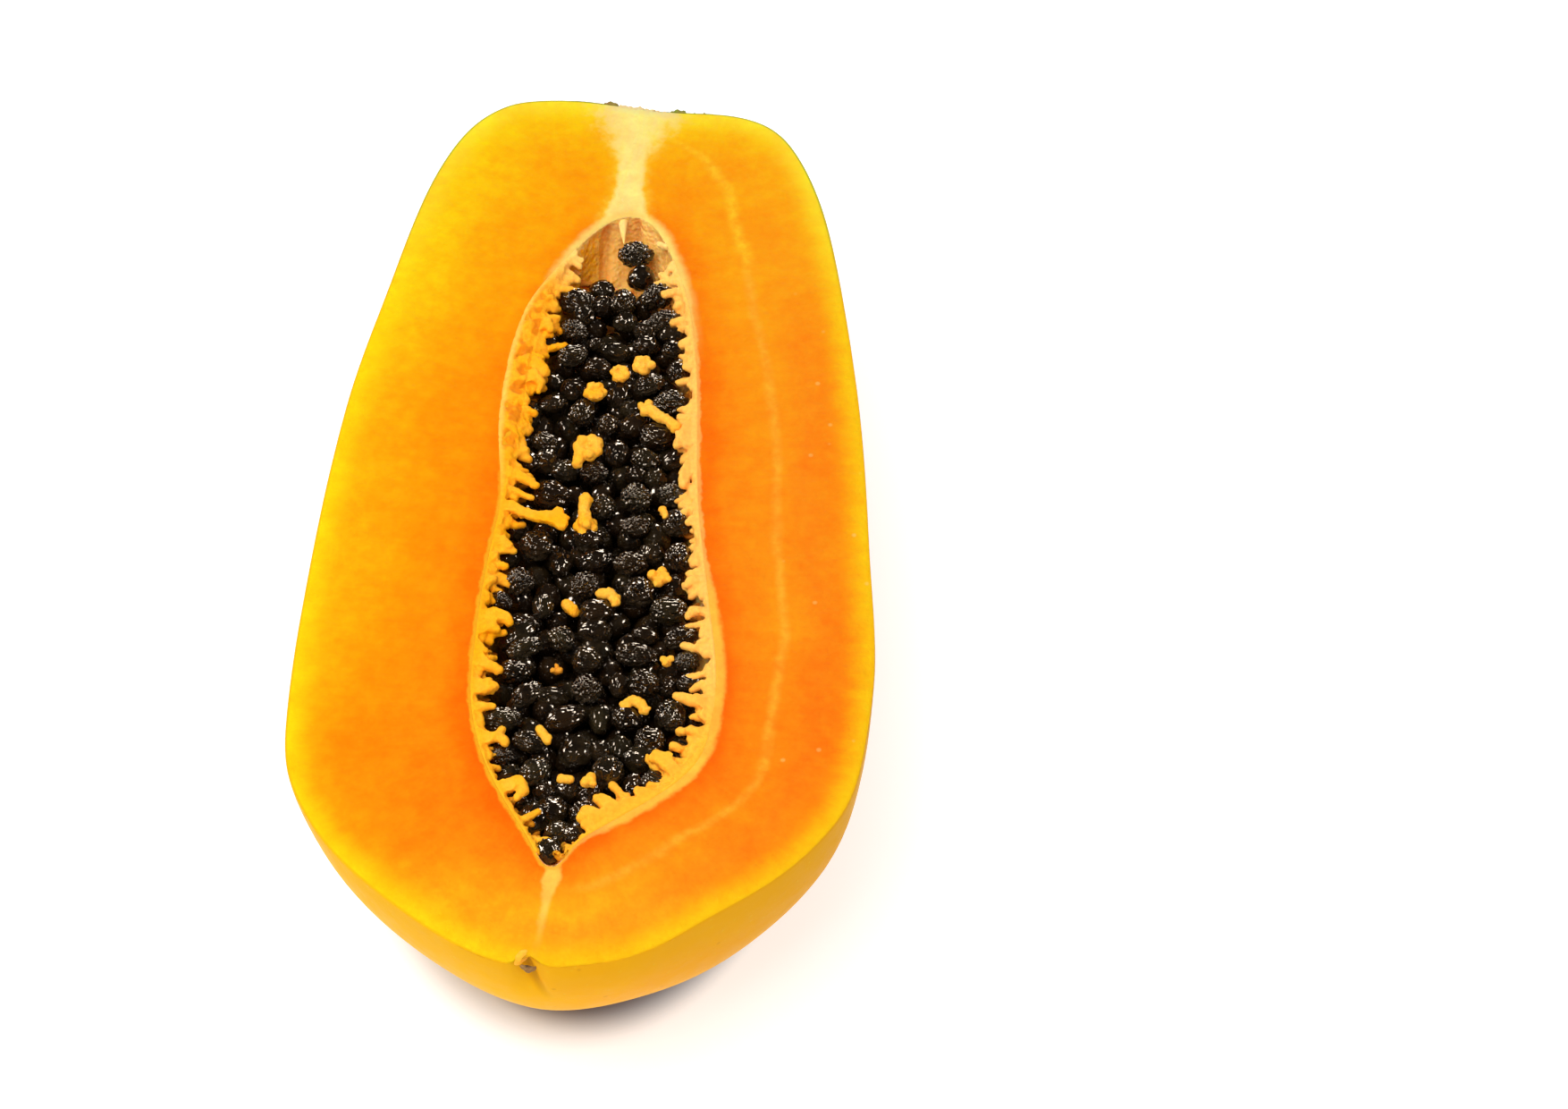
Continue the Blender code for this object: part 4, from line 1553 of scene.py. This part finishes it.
# %% Join the deep seeds, and hide the seed bed that they stand for
join_all(deep_seeds).name = "deep_seeds"
seed_pieces = [seed for seed in bpy.context.scene.objects
               if seed.name.startswith(("open_seed", "tucked_seed", "deep_seeds"))]
for seed in seed_pieces:
    if not seed.name.startswith("open_seed"):
        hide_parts("seed_bed")
for group in coats.values():
    for coat in group:
        bpy.data.objects.remove(coat)
print("seed pieces:", len(seed_pieces))

# %% [markdown]
# ## The seed coat
# Near-black with a brown to olive tint, very wet. A thin clear coat on top gives the small
# sharp highlights, and some seeds carry a greyish film of juice on their lower side.

# %% Paint the seed coats
COAT_BLACK = (0.005, 0.0026, 0.0012, 1)
COAT_BROWN = (0.028, 0.013, 0.004, 1)
COAT_OLIVE = (0.038, 0.025, 0.009, 1)
FILM_GREY = (0.085, 0.060, 0.032, 1)


def cover(pieces, material):
    """Takes off what the pieces were covered with, and gives them this material."""
    for piece in pieces:
        piece.data.materials.clear()
        piece.data.materials.append(material)
    print(material.name, "on", len(pieces), "pieces,", len(tree.nodes), "nodes")


seed_paint = bpy.data.materials.new("seed_coat")
shader = fresh_tree(seed_paint)
position, x, y, z = object_place()
slow, quick = mottle(3 * MM, 0.7 * MM)
tinted = blend(rise(stored("tone"), 0.3, 1.0), COAT_BROWN, COAT_OLIVE)
seed_color = layered(COAT_BLACK, (slow * 0.6, tinted),
                     (stored("film") * (quick * 0.4 + 0.4), FILM_GREY))
finish_surface(seed_color, roughness=quick * 0.1 + 0.08, specular=0.8,
               height=grain(0.8 * MM), strength=0.4, depth=0.2 * MM)
shader.inputs["Coat Weight"].default_value = 0.6
shader.inputs["Coat Roughness"].default_value = 0.07
cover(seed_pieces, seed_paint)

# %% [markdown]
# ## The lining of the cavity and its tufts
# A soft, felted lining covers the cavity wall, and the seeds hang on it by short stalks. The
# knife leaves its edge as a pale band just inside the flesh, narrow at the top and on the
# right, broad on the left and at the lower right. From it tufts and strands reach over the
# seeds. The band is a row of balls that follows the rim, several abreast where it is broad.
# The tufts were read off the photograph: places in pixels, thickness in millimetres, and how
# far below the cut they lie.

# %% Say how broad the lining is along the rim
LINING_WIDTHS = [
    (700, 235, 0.3), (750, 264, 0.3), (777, 320, 0.8), (785, 450, 1.0), (787, 560, 1.1),
    (795, 650, 1.4), (803, 740, 1.6), (805, 815, 2.8), (775, 877, 3.6), (700, 919, 3.0),
    (650, 945, 0.8), (618, 974, 0.4), (584, 936, 0.5), (545, 878, 1.2), (520, 830, 1.5),
    (512, 780, 1.6), (520, 700, 1.7), (537, 620, 1.5), (553, 540, 1.5), (560, 440, 2.0),
    (570, 378, 2.6), (601, 310, 1.6), (640, 256, 0.3),
]
SHARPNESS = 4
width_spots = [(spot(x, y), width * MM) for x, y, width in LINING_WIDTHS]


def lining_width(place):
    """The width of the lining here, from the nearest listed places."""
    pulls = [1 / ((place - known).length + MM) ** SHARPNESS for known, _ in width_spots]
    return sum(pull * width for pull, (_, width) in zip(pulls, width_spots)) / sum(pulls)


def even_steps(rim, step):
    """Points at even steps along a rim, each with its direction into the cavity."""
    edges = np.diff(rim, axis=0)
    way = np.concatenate([[0], np.cumsum(np.linalg.norm(edges, axis=1))])
    middle = Vector(rim.mean(axis=0))
    turning = sum(start[0] * end[1] - end[0] * start[1] for start, end in zip(rim, rim[1:]))
    side = 1 if turning > 0 else -1
    for reach in np.arange(0, way[-1], step):
        number = min(np.searchsorted(way, reach, side="right") - 1, len(edges) - 1)
        share = (reach - way[number]) / (way[number + 1] - way[number])
        along = Vector(edges[number]).normalized()
        yield Vector(rim[number] + share * edges[number]), Vector((-along.y, along.x, 0)) * side


print("places with a listed width:", len(width_spots))

# %% Set down the balls of the band
BAND_STEP = 0.75 * MM
BALL_SIZE = 0.8 * MM
RIM_BALL_SIZE = 0.62 * MM
RIM_BALL_SINK = 0.52 * MM
RIM_BALL_BACK = 0.12 * MM

chance = random.Random(23)
lining_balls = []


def lowered(place, depth):
    """The place straight below another."""
    return place - Vector((0, 0, depth))


def close_the_rim(place, inward):
    """A ball right at the rim, so that no gap is left between the flesh and the lining."""
    lining_balls.append((lowered(place - inward * RIM_BALL_BACK, RIM_BALL_SINK), RIM_BALL_SIZE))


def add_band(place, inward, width):
    """Balls side by side from the rim inwards, lower and lower down the wall."""
    abreast = max(1, round(width / BALL_SIZE))
    for number in range(abreast):
        reach = width * number / abreast + chance.uniform(-0.1, 0.25) * MM
        sink = (0.8 + chance.uniform(0, 0.3)) * MM + 0.6 * reach * number / abreast
        ball = (lowered(place + inward * reach, sink), BALL_SIZE * chance.uniform(0.8, 1.15))
        lining_balls.extend(crumbled([ball], chance, 0.3))


print("balls in", round(BAND_STEP / MM, 2), "mm steps")

# %% Tear its outer edge on the left
TORN_LEFT_OF = -6 * MM
TORN_FROM, TORN_FULL_FROM = -4 * MM, 22 * MM
TORN_TO, TORN_FULL_TO = 64 * MM, 44 * MM
TORN_LUMPS = 4
TORN_REACH = 2.5 * MM
TORN_SINK = 0.5 * MM
TORN_SIZES = (0.6, 1.1)
TORN_GAP_SIZE = 1.7 * MM
TORN_GAPS = -0.2
TORN_LIP_SIZE = 0.62 * MM


def torn_share(place):
    """Where the lining is torn out over the cut flesh: on the left, above the middle."""
    if place.x > TORN_LEFT_OF:
        return 0.0
    return (smooth_share(place.y, TORN_FROM, TORN_FULL_FROM)
            * smooth_share(place.y, TORN_TO, TORN_FULL_TO))


def add_torn_lumps(place, inward):
    """Crumbs of the lining on the flesh just outside the rim, with gaps between them."""
    torn = torn_share(place)
    for _ in range(TORN_LUMPS):
        reach = chance.uniform(0.1, 1) * TORN_REACH * torn
        lump = lowered(place - inward * reach, TORN_SINK)
        if noise_at(lump, TORN_GAP_SIZE) > TORN_GAPS:
            lining_balls.append((lump, chance.uniform(*TORN_SIZES) * MM))
    lip = place - inward * TORN_REACH * torn
    lining_balls.append((lowered(lip, TORN_SINK), TORN_LIP_SIZE))


print("torn out by", round(TORN_REACH / MM, 1), "mm")

# %% Add tufts on its inner edge and stubs on the wall below, all along the rim
NARROWEST = 0.5 * MM
RAGGED_SIZE = 2.3 * MM
RAGGED_DEPTH = 1.5
LEAST_WIDTH = 0.3
EDGE_TUFTS = 0.35
WALL_TUFTS = 0.8
WALL_TUFT_DEPTHS = (1.8, 9.0)


def add_edge_tuft(place, inward, width):
    """A short torn tuft on the inner edge of the band."""
    sideways = Vector((chance.uniform(-0.7, 0.7), chance.uniform(-0.7, 0.7), 0))
    start = lowered(place + inward * width, chance.uniform(0.8, 2.2) * MM)
    end = start + (inward + sideways) * chance.uniform(0.5, 2.0) * MM
    end.z -= chance.uniform(-0.1, 0.9) * MM
    tuft = strand([(start, chance.uniform(0.6, 0.8) * MM), (end, chance.uniform(0.5, 0.9) * MM)])
    lining_balls.extend(crumbled(tuft, chance, 0.4))


def add_wall_tuft(place, inward):
    """A stub of a seed stalk on the wall below the band."""
    depth = chance.uniform(*WALL_TUFT_DEPTHS) * MM
    inside = place + inward * (1.0 * MM + 0.3 * depth)
    nearest, facing, *_ = fruit_surface.find_nearest(lowered(inside, depth))
    end = nearest + facing * chance.uniform(0.8, 2.2) * MM
    lining_balls.extend(strand([(nearest, chance.uniform(0.6, 0.9) * MM),
                                (end, chance.uniform(0.3, 0.5) * MM)]))


for place, inward in even_steps(cavity_rim, BAND_STEP):
    width = lining_width(place)
    if width < NARROWEST:
        continue
    width *= max(LEAST_WIDTH, 1 + RAGGED_DEPTH * noise_at(place, RAGGED_SIZE))
    close_the_rim(place, inward)
    add_band(place, inward, width)
    if torn_share(place) > 0:
        add_torn_lumps(place, inward)
    if chance.random() < EDGE_TUFTS:
        add_edge_tuft(place, inward, width)
    if chance.random() < WALL_TUFTS:
        add_wall_tuft(place, inward)
print("balls of the lining:", len(lining_balls))

# %% List the tufts and strands that reach over the seeds
LEFT_TUFTS = [
    (0.4, (597, 330, 1.0), (606, 336, 1.0), (616, 333, 0.7)),
    (0.2, (588, 366, 1.2), (600, 364, 1.3), (612, 360, 1.1), (616, 368, 0.7)),
    (0.3, (580, 408, 1.6), (592, 404, 1.6), (604, 408, 1.2), (610, 416, 1.0)),
    (0.3, (584, 424, 1.4), (596, 420, 1.4), (606, 428, 0.8), (602, 438, 0.5)),
    (0.5, (572, 445, 1.3), (582, 442, 1.3), (588, 448, 0.9)),
    (0.5, (566, 470, 1.0), (574, 480, 0.8), (578, 492, 0.5)),
    (0.6, (560, 508, 1.0), (570, 512, 0.8)),
    (0.0, (558, 524, 1.2), (572, 528, 1.1), (588, 536, 1.0), (600, 543, 0.7)),
    (0.8, (566, 545, 0.7), (580, 551, 0.7), (595, 557, 0.6)),
    (-0.3, (556, 560, 1.1), (570, 564, 1.1), (585, 573, 1.0), (600, 578, 1.0), (612, 578, 1.4),
     (622, 580, 1.5), (634, 579, 0.6)),
    (-0.3, (622, 580, 1.3), (628, 588, 1.0)),
    (-0.3, (618, 578, 1.2), (626, 572, 0.9)),
    (0.5, (552, 604, 1.2), (562, 606, 1.2), (570, 611, 0.9)),
    (0.6, (545, 626, 1.2), (553, 622, 0.9)),
    (0.6, (540, 650, 1.2), (552, 648, 0.8)),
    (0.0, (524, 690, 1.8), (538, 690, 1.9), (552, 688, 1.6), (565, 690, 1.2), (570, 696, 0.8)),
    (0.2, (534, 702, 1.5), (545, 700, 1.3), (556, 704, 0.8)),
    (0.2, (526, 712, 1.4), (530, 726, 1.3), (537, 738, 1.2), (548, 745, 1.1), (559, 749, 0.8)),
    (0.5, (534, 720, 0.8), (543, 728, 0.6)),
    (0.1, (516, 764, 1.7), (530, 766, 1.7), (544, 768, 1.5), (553, 768, 0.9)),
    (0.4, (524, 790, 1.0), (538, 790, 0.9), (552, 790, 0.6)),
    (0.2, (518, 806, 1.3), (530, 818, 1.3), (545, 826, 1.1), (558, 823, 1.0), (565, 830, 0.9)),
    (0.2, (556, 824, 0.9), (562, 815, 0.7)),
    (0.3, (534, 846, 1.0), (541, 858, 0.8)),
    (0.1, (556, 880, 1.2), (570, 878, 1.4), (580, 874, 1.3), (587, 884, 0.9), (578, 892, 0.7)),
]
RIGHT_TUFTS = [
    (0.8, (752, 277, 0.5), (744, 276, 0.7), (737, 273, 0.6)),
    (1.0, (760, 290, 0.7), (752, 296, 0.7), (746, 305, 0.5)),
    (1.2, (748, 312, 0.5), (739, 307, 0.6)),
    (0.3, (780, 470, 1.2), (770, 478, 1.3), (763, 490, 1.2), (757, 498, 0.8)),
    (0.5, (778, 490, 1.1), (768, 497, 1.0)),
    (0.2, (783, 520, 0.9), (772, 520, 1.2), (766, 530, 1.2), (764, 542, 0.9)),
    (0.8, (786, 580, 0.8), (778, 586, 0.6)),
    (0.5, (784, 648, 0.9), (773, 650, 1.0), (768, 655, 0.6)),
    (0.5, (788, 684, 0.9), (775, 683, 1.0), (769, 690, 0.6)),
    (0.8, (790, 715, 0.8), (782, 720, 0.6)),
    (0.0, (802, 784, 1.4), (788, 786, 1.2), (774, 784, 1.1), (763, 780, 1.0), (756, 778, 0.7)),
    (0.3, (800, 800, 1.3), (790, 800, 1.2)),
    (0.4, (795, 818, 1.3), (783, 820, 1.0), (771, 816, 0.8)),
    (0.6, (798, 835, 1.5), (786, 845, 1.5), (776, 858, 1.4)),
    (0.0, (768, 868, 1.4), (755, 862, 1.3), (744, 852, 1.5), (735, 845, 1.2), (730, 848, 0.9)),
    (0.0, (742, 895, 1.6), (730, 892, 1.6), (720, 888, 1.3), (713, 884, 0.8)),
    (0.1, (700, 912, 1.7), (686, 905, 1.7), (676, 897, 1.3), (668, 893, 0.9)),
    (0.1, (680, 915, 1.5), (666, 913, 1.5), (656, 907, 1.2), (650, 915, 0.9)),
    (0.2, (664, 925, 1.2), (655, 922, 1.0)),
    (0.4, (710, 900, 1.3), (700, 898, 1.2)),
]
for below, *points in LEFT_TUFTS + RIGHT_TUFTS:
    lining_balls += crumbled(strand(seen(*points, below=below)), chance)
print("tufts:", len(LEFT_TUFTS) + len(RIGHT_TUFTS), "balls with them:", len(lining_balls))

# %% Melt the lining and cut its band level with the knife
LINING_GRAIN = 0.25 * MM
LININGS_OVERLAP = 2 * MM
PRESSED_ABOVE = CUT_HEIGHT - 3 * MM
UNDER_CUT = 0.04 * MM
HIDDEN_SLOPE = 0.7
BAND_REACH = 1.0 * MM
SPRING_SLOPE = 0.5
HIGHEST_SPRING = 0.9 * MM
TORN_HEIGHT = 0.8 * MM
TORN_FALL = 1.2
TORN_BUMP_SIZE = 1.7 * MM


def press_under_knife(piece):
    """Presses tissue down to the cut near the cavity's rim, and under the flesh beyond it.

    Further inside the cavity, torn tufts may spring up a little above the cut. How far a point
    is from the rim is stored too, because the tissue is darker at its root, and so are shares
    for the pale lip of the torn part and for its creases, where shade is painted.
    """
    points = points_of(piece.data)
    high = np.flatnonzero(points[:, 2] > PRESSED_ABOVE)
    away, _ = nearest_on_rim(points[high], cavity_rim)
    outside = np.array([not inside_rim(Vector(points[index]), cavity_rim) for index in high])
    spring = np.clip((away - BAND_REACH) * SPRING_SLOPE, 0, HIGHEST_SPRING)
    ceiling = CUT_HEIGHT - UNDER_CUT + spring
    ceiling[outside] = CUT_HEIGHT - UNDER_CUT - HIDDEN_SLOPE * away[outside]
    lip, crease_shade = np.zeros(len(points)), np.zeros(len(points))
    for number, index in enumerate(high):
        point = Vector(points[index])
        torn = torn_share(point)
        if torn > 0 and (outside[number] or away[number] < BAND_REACH):
            bumpy = 0.6 + noise_at(point, TORN_BUMP_SIZE)
            reach = TORN_REACH * torn
            past, at_lip = 0.0, 0.0
            if outside[number]:
                past = max(0.0, away[number] - reach)
                at_lip = smooth_share(away[number], reach - MM, reach)
            bumpy += (0.5 - bumpy) * at_lip
            ceiling[number] = CUT_HEIGHT + TORN_HEIGHT * torn * bumpy - TORN_FALL * past
            lip[index] = at_lip * torn
            # Painted shade: a share for the creases between the torn lumps.
            crease_shade[index] = torn * (1 - at_lip) * smooth_share(bumpy, 0.7, 0.3)
    points[high, 2] = np.minimum(points[high, 2], ceiling)
    move_points(piece.data, points)
    from_rim = np.full(len(points), 3 * MM)
    from_rim[high] = away
    store(piece, "from_rim", from_rim)
    store(piece, "lip", lip)
    store(piece, "crease_shade", crease_shade)
    return (points[:, 2].max() - CUT_HEIGHT) / MM


linings = []
middle_x = cavity_rim[:, 0].mean()
for side, name in ((-1, "left_lining"), (1, "right_lining")):
    here = [ball for ball in lining_balls if (ball[0].x - middle_x) * side >= -LININGS_OVERLAP]
    lining = melt_balls(name, here, LINING_GRAIN, 0.9 * MM, 0.4 * MM, 2)
    linings.append(lining)
    print(name, len(here), "balls,", len(lining.data.polygons), "faces, highest",
          round(press_under_knife(lining), 2), "mm above the cut")

# %% [markdown]
# ## Loose pieces of seed stalk between the seeds
# Yellow, lobed bits of tissue lie between the seeds: torn seed stalks. Some look like a small
# flower with a dimple, so their balls stand in a ring.

# %% Grow the loose seed stalks
TORN_FLOWERS = [
    (720, 407, 14, 5, 0.0), (694, 417, 12, 6, 0.9), (666, 437, 14, 6, 0.3),
    (658, 499, 18, 7, 0.0), (724, 455, 12, 4, 0.6), (655, 588, 15, 5, 1.2),
    (655, 558, 9, 3, 0.4), (737, 644, 14, 4, 1.3), (746, 738, 9, 3, 1.3), (623, 748, 8, 3, 3.6),
]
TORN_STRANDS = [
    (0.3, (655, 558, 1.2), (653, 570, 1.1), (655, 584, 1.4)),
    (0.6, (727, 458, 1.1), (737, 466, 1.1), (747, 470, 0.9), (756, 478, 1.2)),
    (0.4, (650, 506, 1.3), (646, 518, 1.0)),
    (1.5, (741, 570, 0.8), (744, 577, 0.6)),
    (1.5, (672, 664, 1.0), (683, 664, 1.1), (689, 673, 0.9)),
    (2.6, (634, 676, 1.1), (642, 684, 1.0)),
    (1.1, (698, 788, 0.8), (708, 783, 1.0), (717, 787, 1.0), (722, 795, 0.8)),
    (1.8, (604, 816, 0.9), (610, 824, 0.9), (613, 829, 0.7)),
    (1.6, (628, 871, 0.9), (638, 872, 0.8)),
    (1.3, (655, 875, 1.0), (661, 869, 0.9), (663, 877, 0.7)),
]
LOBE_SHARE = 0.42
MIDDLE_SHARE = 0.6
MIDDLE_SINK = 0.5

stalk_balls = []
chance = random.Random(41)
for pixel_x, pixel_y, reach, lobes, below in TORN_FLOWERS:
    middle = spot(pixel_x, pixel_y, below * MM)
    radius = (spot(pixel_x + reach, pixel_y, below * MM) - middle).length
    stalk_balls.append((lowered(middle, MIDDLE_SINK * radius), MIDDLE_SHARE * radius))
    first_turn = chance.uniform(0, math.tau)
    for lobe in range(lobes):
        turn = first_turn + math.tau * (lobe + chance.uniform(-0.15, 0.15)) / lobes
        aside = Vector((math.cos(turn), math.sin(turn), chance.uniform(-0.35, 0.05)))
        lobe_radius = LOBE_SHARE * radius * chance.uniform(0.85, 1.2)
        stalk_balls += crumbled([(middle + aside * (radius - lobe_radius), lobe_radius)], chance)
for below, *points in TORN_STRANDS:
    stalk_balls += crumbled(strand(seen(*points, below=below)), chance, 0.5)
loose_stalks = melt_balls("loose_seed_stalks", stalk_balls, 0.2 * MM, 0.8 * MM, 0.45 * MM, 1)
print("loose seed stalks:", len(loose_stalks.data.polygons), "faces")

# %% [markdown]
# ## The colours of the soft tissue
# The lining is a saturated yellow on the left, peach on the right and cream at the top, with a
# painted shade that makes it darker further down in the cavity. Its tufts are paler in random
# patches.

# %% Paint the lining, the stalks and the spike
TISSUE_LEFT = (0.96, 0.37, 0.003, 1)
TISSUE_RIGHT = (0.99, 0.47, 0.085, 1)
TISSUE_TOP = (0.98, 0.62, 0.20, 1)
TISSUE_LIP = (0.98, 0.56, 0.12, 1)
TISSUE_CREASE_SHADE = (0.66, 0.17, 0.003, 1)
TISSUE_LOW = (0.98, 0.40, 0.012, 1)
TISSUE_DEEP_SHADE = (0.50, 0.14, 0.008, 1)
TISSUE_PALE = (1.0, 0.57, 0.10, 1)
ROOT_LEFT = (0.97, 0.36, 0.006, 1)
ROOT_RIGHT = (0.97, 0.46, 0.09, 1)


def tissue_color(loose):
    """The colour of the lining, or of loose stalks, from the places in hand."""
    right = rise(x, -6 * MM, 10 * MM)
    low = (rise(y, -30 * MM, -55 * MM) * 0.85, TISSUE_LOW)
    color = layered(blend(right, TISSUE_LEFT, TISSUE_RIGHT), low,
                    (rise(y, 48 * MM, 68 * MM), TISSUE_TOP))
    if loose:
        return layered(color, (0.75, TISSUE_LOW), (slow * 0.40, TISSUE_PALE))
    near_rim = rise(stored("from_rim") + quick * (1.2 * MM), 2.6 * MM, 0.6 * MM)
    return layered(
        color,
        (slow * 0.18, TISSUE_PALE),
        (near_rim * rise(y, 62 * MM, 40 * MM) * 0.8,
         layered(blend(right, ROOT_LEFT, ROOT_RIGHT), low)),
        (stored("lip") * 0.55, TISSUE_LIP),
        # Painted shade in the creases of the torn lining.
        (stored("crease_shade") * 0.8, TISSUE_CREASE_SHADE),
        (rise(y, 86 * MM, 92 * MM), CORE_CRUST),
    )


for name, pieces in (("lining_tissue", [*linings, core_spike, stem_core]),
                     ("stalk_tissue", [loose_stalks, blossom_bump])):
    tissue = bpy.data.materials.new(name)
    shader = fresh_tree(tissue)
    position, x, y, z = object_place()
    slow, quick = mottle(5 * MM, 0.8 * MM)
    # Painted shade: the tissue darker further down in the cavity.
    deep = rise(z, CUT_HEIGHT - 0.8 * MM, CUT_HEIGHT - 5 * MM) * 0.85
    color = blend(deep, tissue_color(loose=name == "stalk_tissue"), TISSUE_DEEP_SHADE)
    finish_surface(yellowed(color, quick * 0.16 + 0.9), roughness=quick * 0.2 + 0.4,
                   specular=0.03, height=grain(0.4 * MM), strength=0.3, depth=0.15 * MM)
    let_light_in(0.25, (1.0, 0.5, 0.15), 1.2 * MM)
    cover(pieces, tissue)

# %% Paint the two scars
SCAR_GREEN = paint(122, 148, 34)
SCAR_BROWN = (0.22, 0.095, 0.028, 1)
SCAR_DARK = (0.030, 0.018, 0.010, 1)
SCAR_PALE = paint(204, 168, 104)
DARK_SPOT = spot(591, 1080, 0.5 * MM)

scar_paint = bpy.data.materials.new("corky_scar")
shader = fresh_tree(scar_paint)
position, x, y, z = object_place()
slow, quick = mottle(2.5 * MM, 0.6 * MM)
scar_color = layered(
    SCAR_BROWN,
    (rise(y, 0.0, 10 * MM), blend(slow, SCAR_BROWN, SCAR_GREEN)),
    (quick * 0.4, SCAR_PALE),
    (rise(distance_to(DARK_SPOT), 1.0 * MM, 0.3 * MM), SCAR_DARK),
)
finish_surface(scar_color, roughness=quick * 0.2 + 0.6, specular=0.1,
               height=quick, strength=0.5, depth=0.2 * MM)
cover([stem_scar, blossom_scar], scar_paint)
for piece in (stem_scar, stem_core, blossom_scar, blossom_bump, core_spike, *linings,
              loose_stalks):
    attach(piece, "root")
    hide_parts("papaya_half")

# %% [markdown]
# ## The last lines
# Both boxes, of the measured solids and of the visual model, are printed. The visual
# model has to stay inside the measured box.

# %% Print the sizes and finish
visual_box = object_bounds()
sizes = {
    "cad": [[round(value, 5) for value in corner] for corner in cad_box],
    "visual": [[round(value, 5) for value in corner] for corner in visual_box],
}
print(sizes)
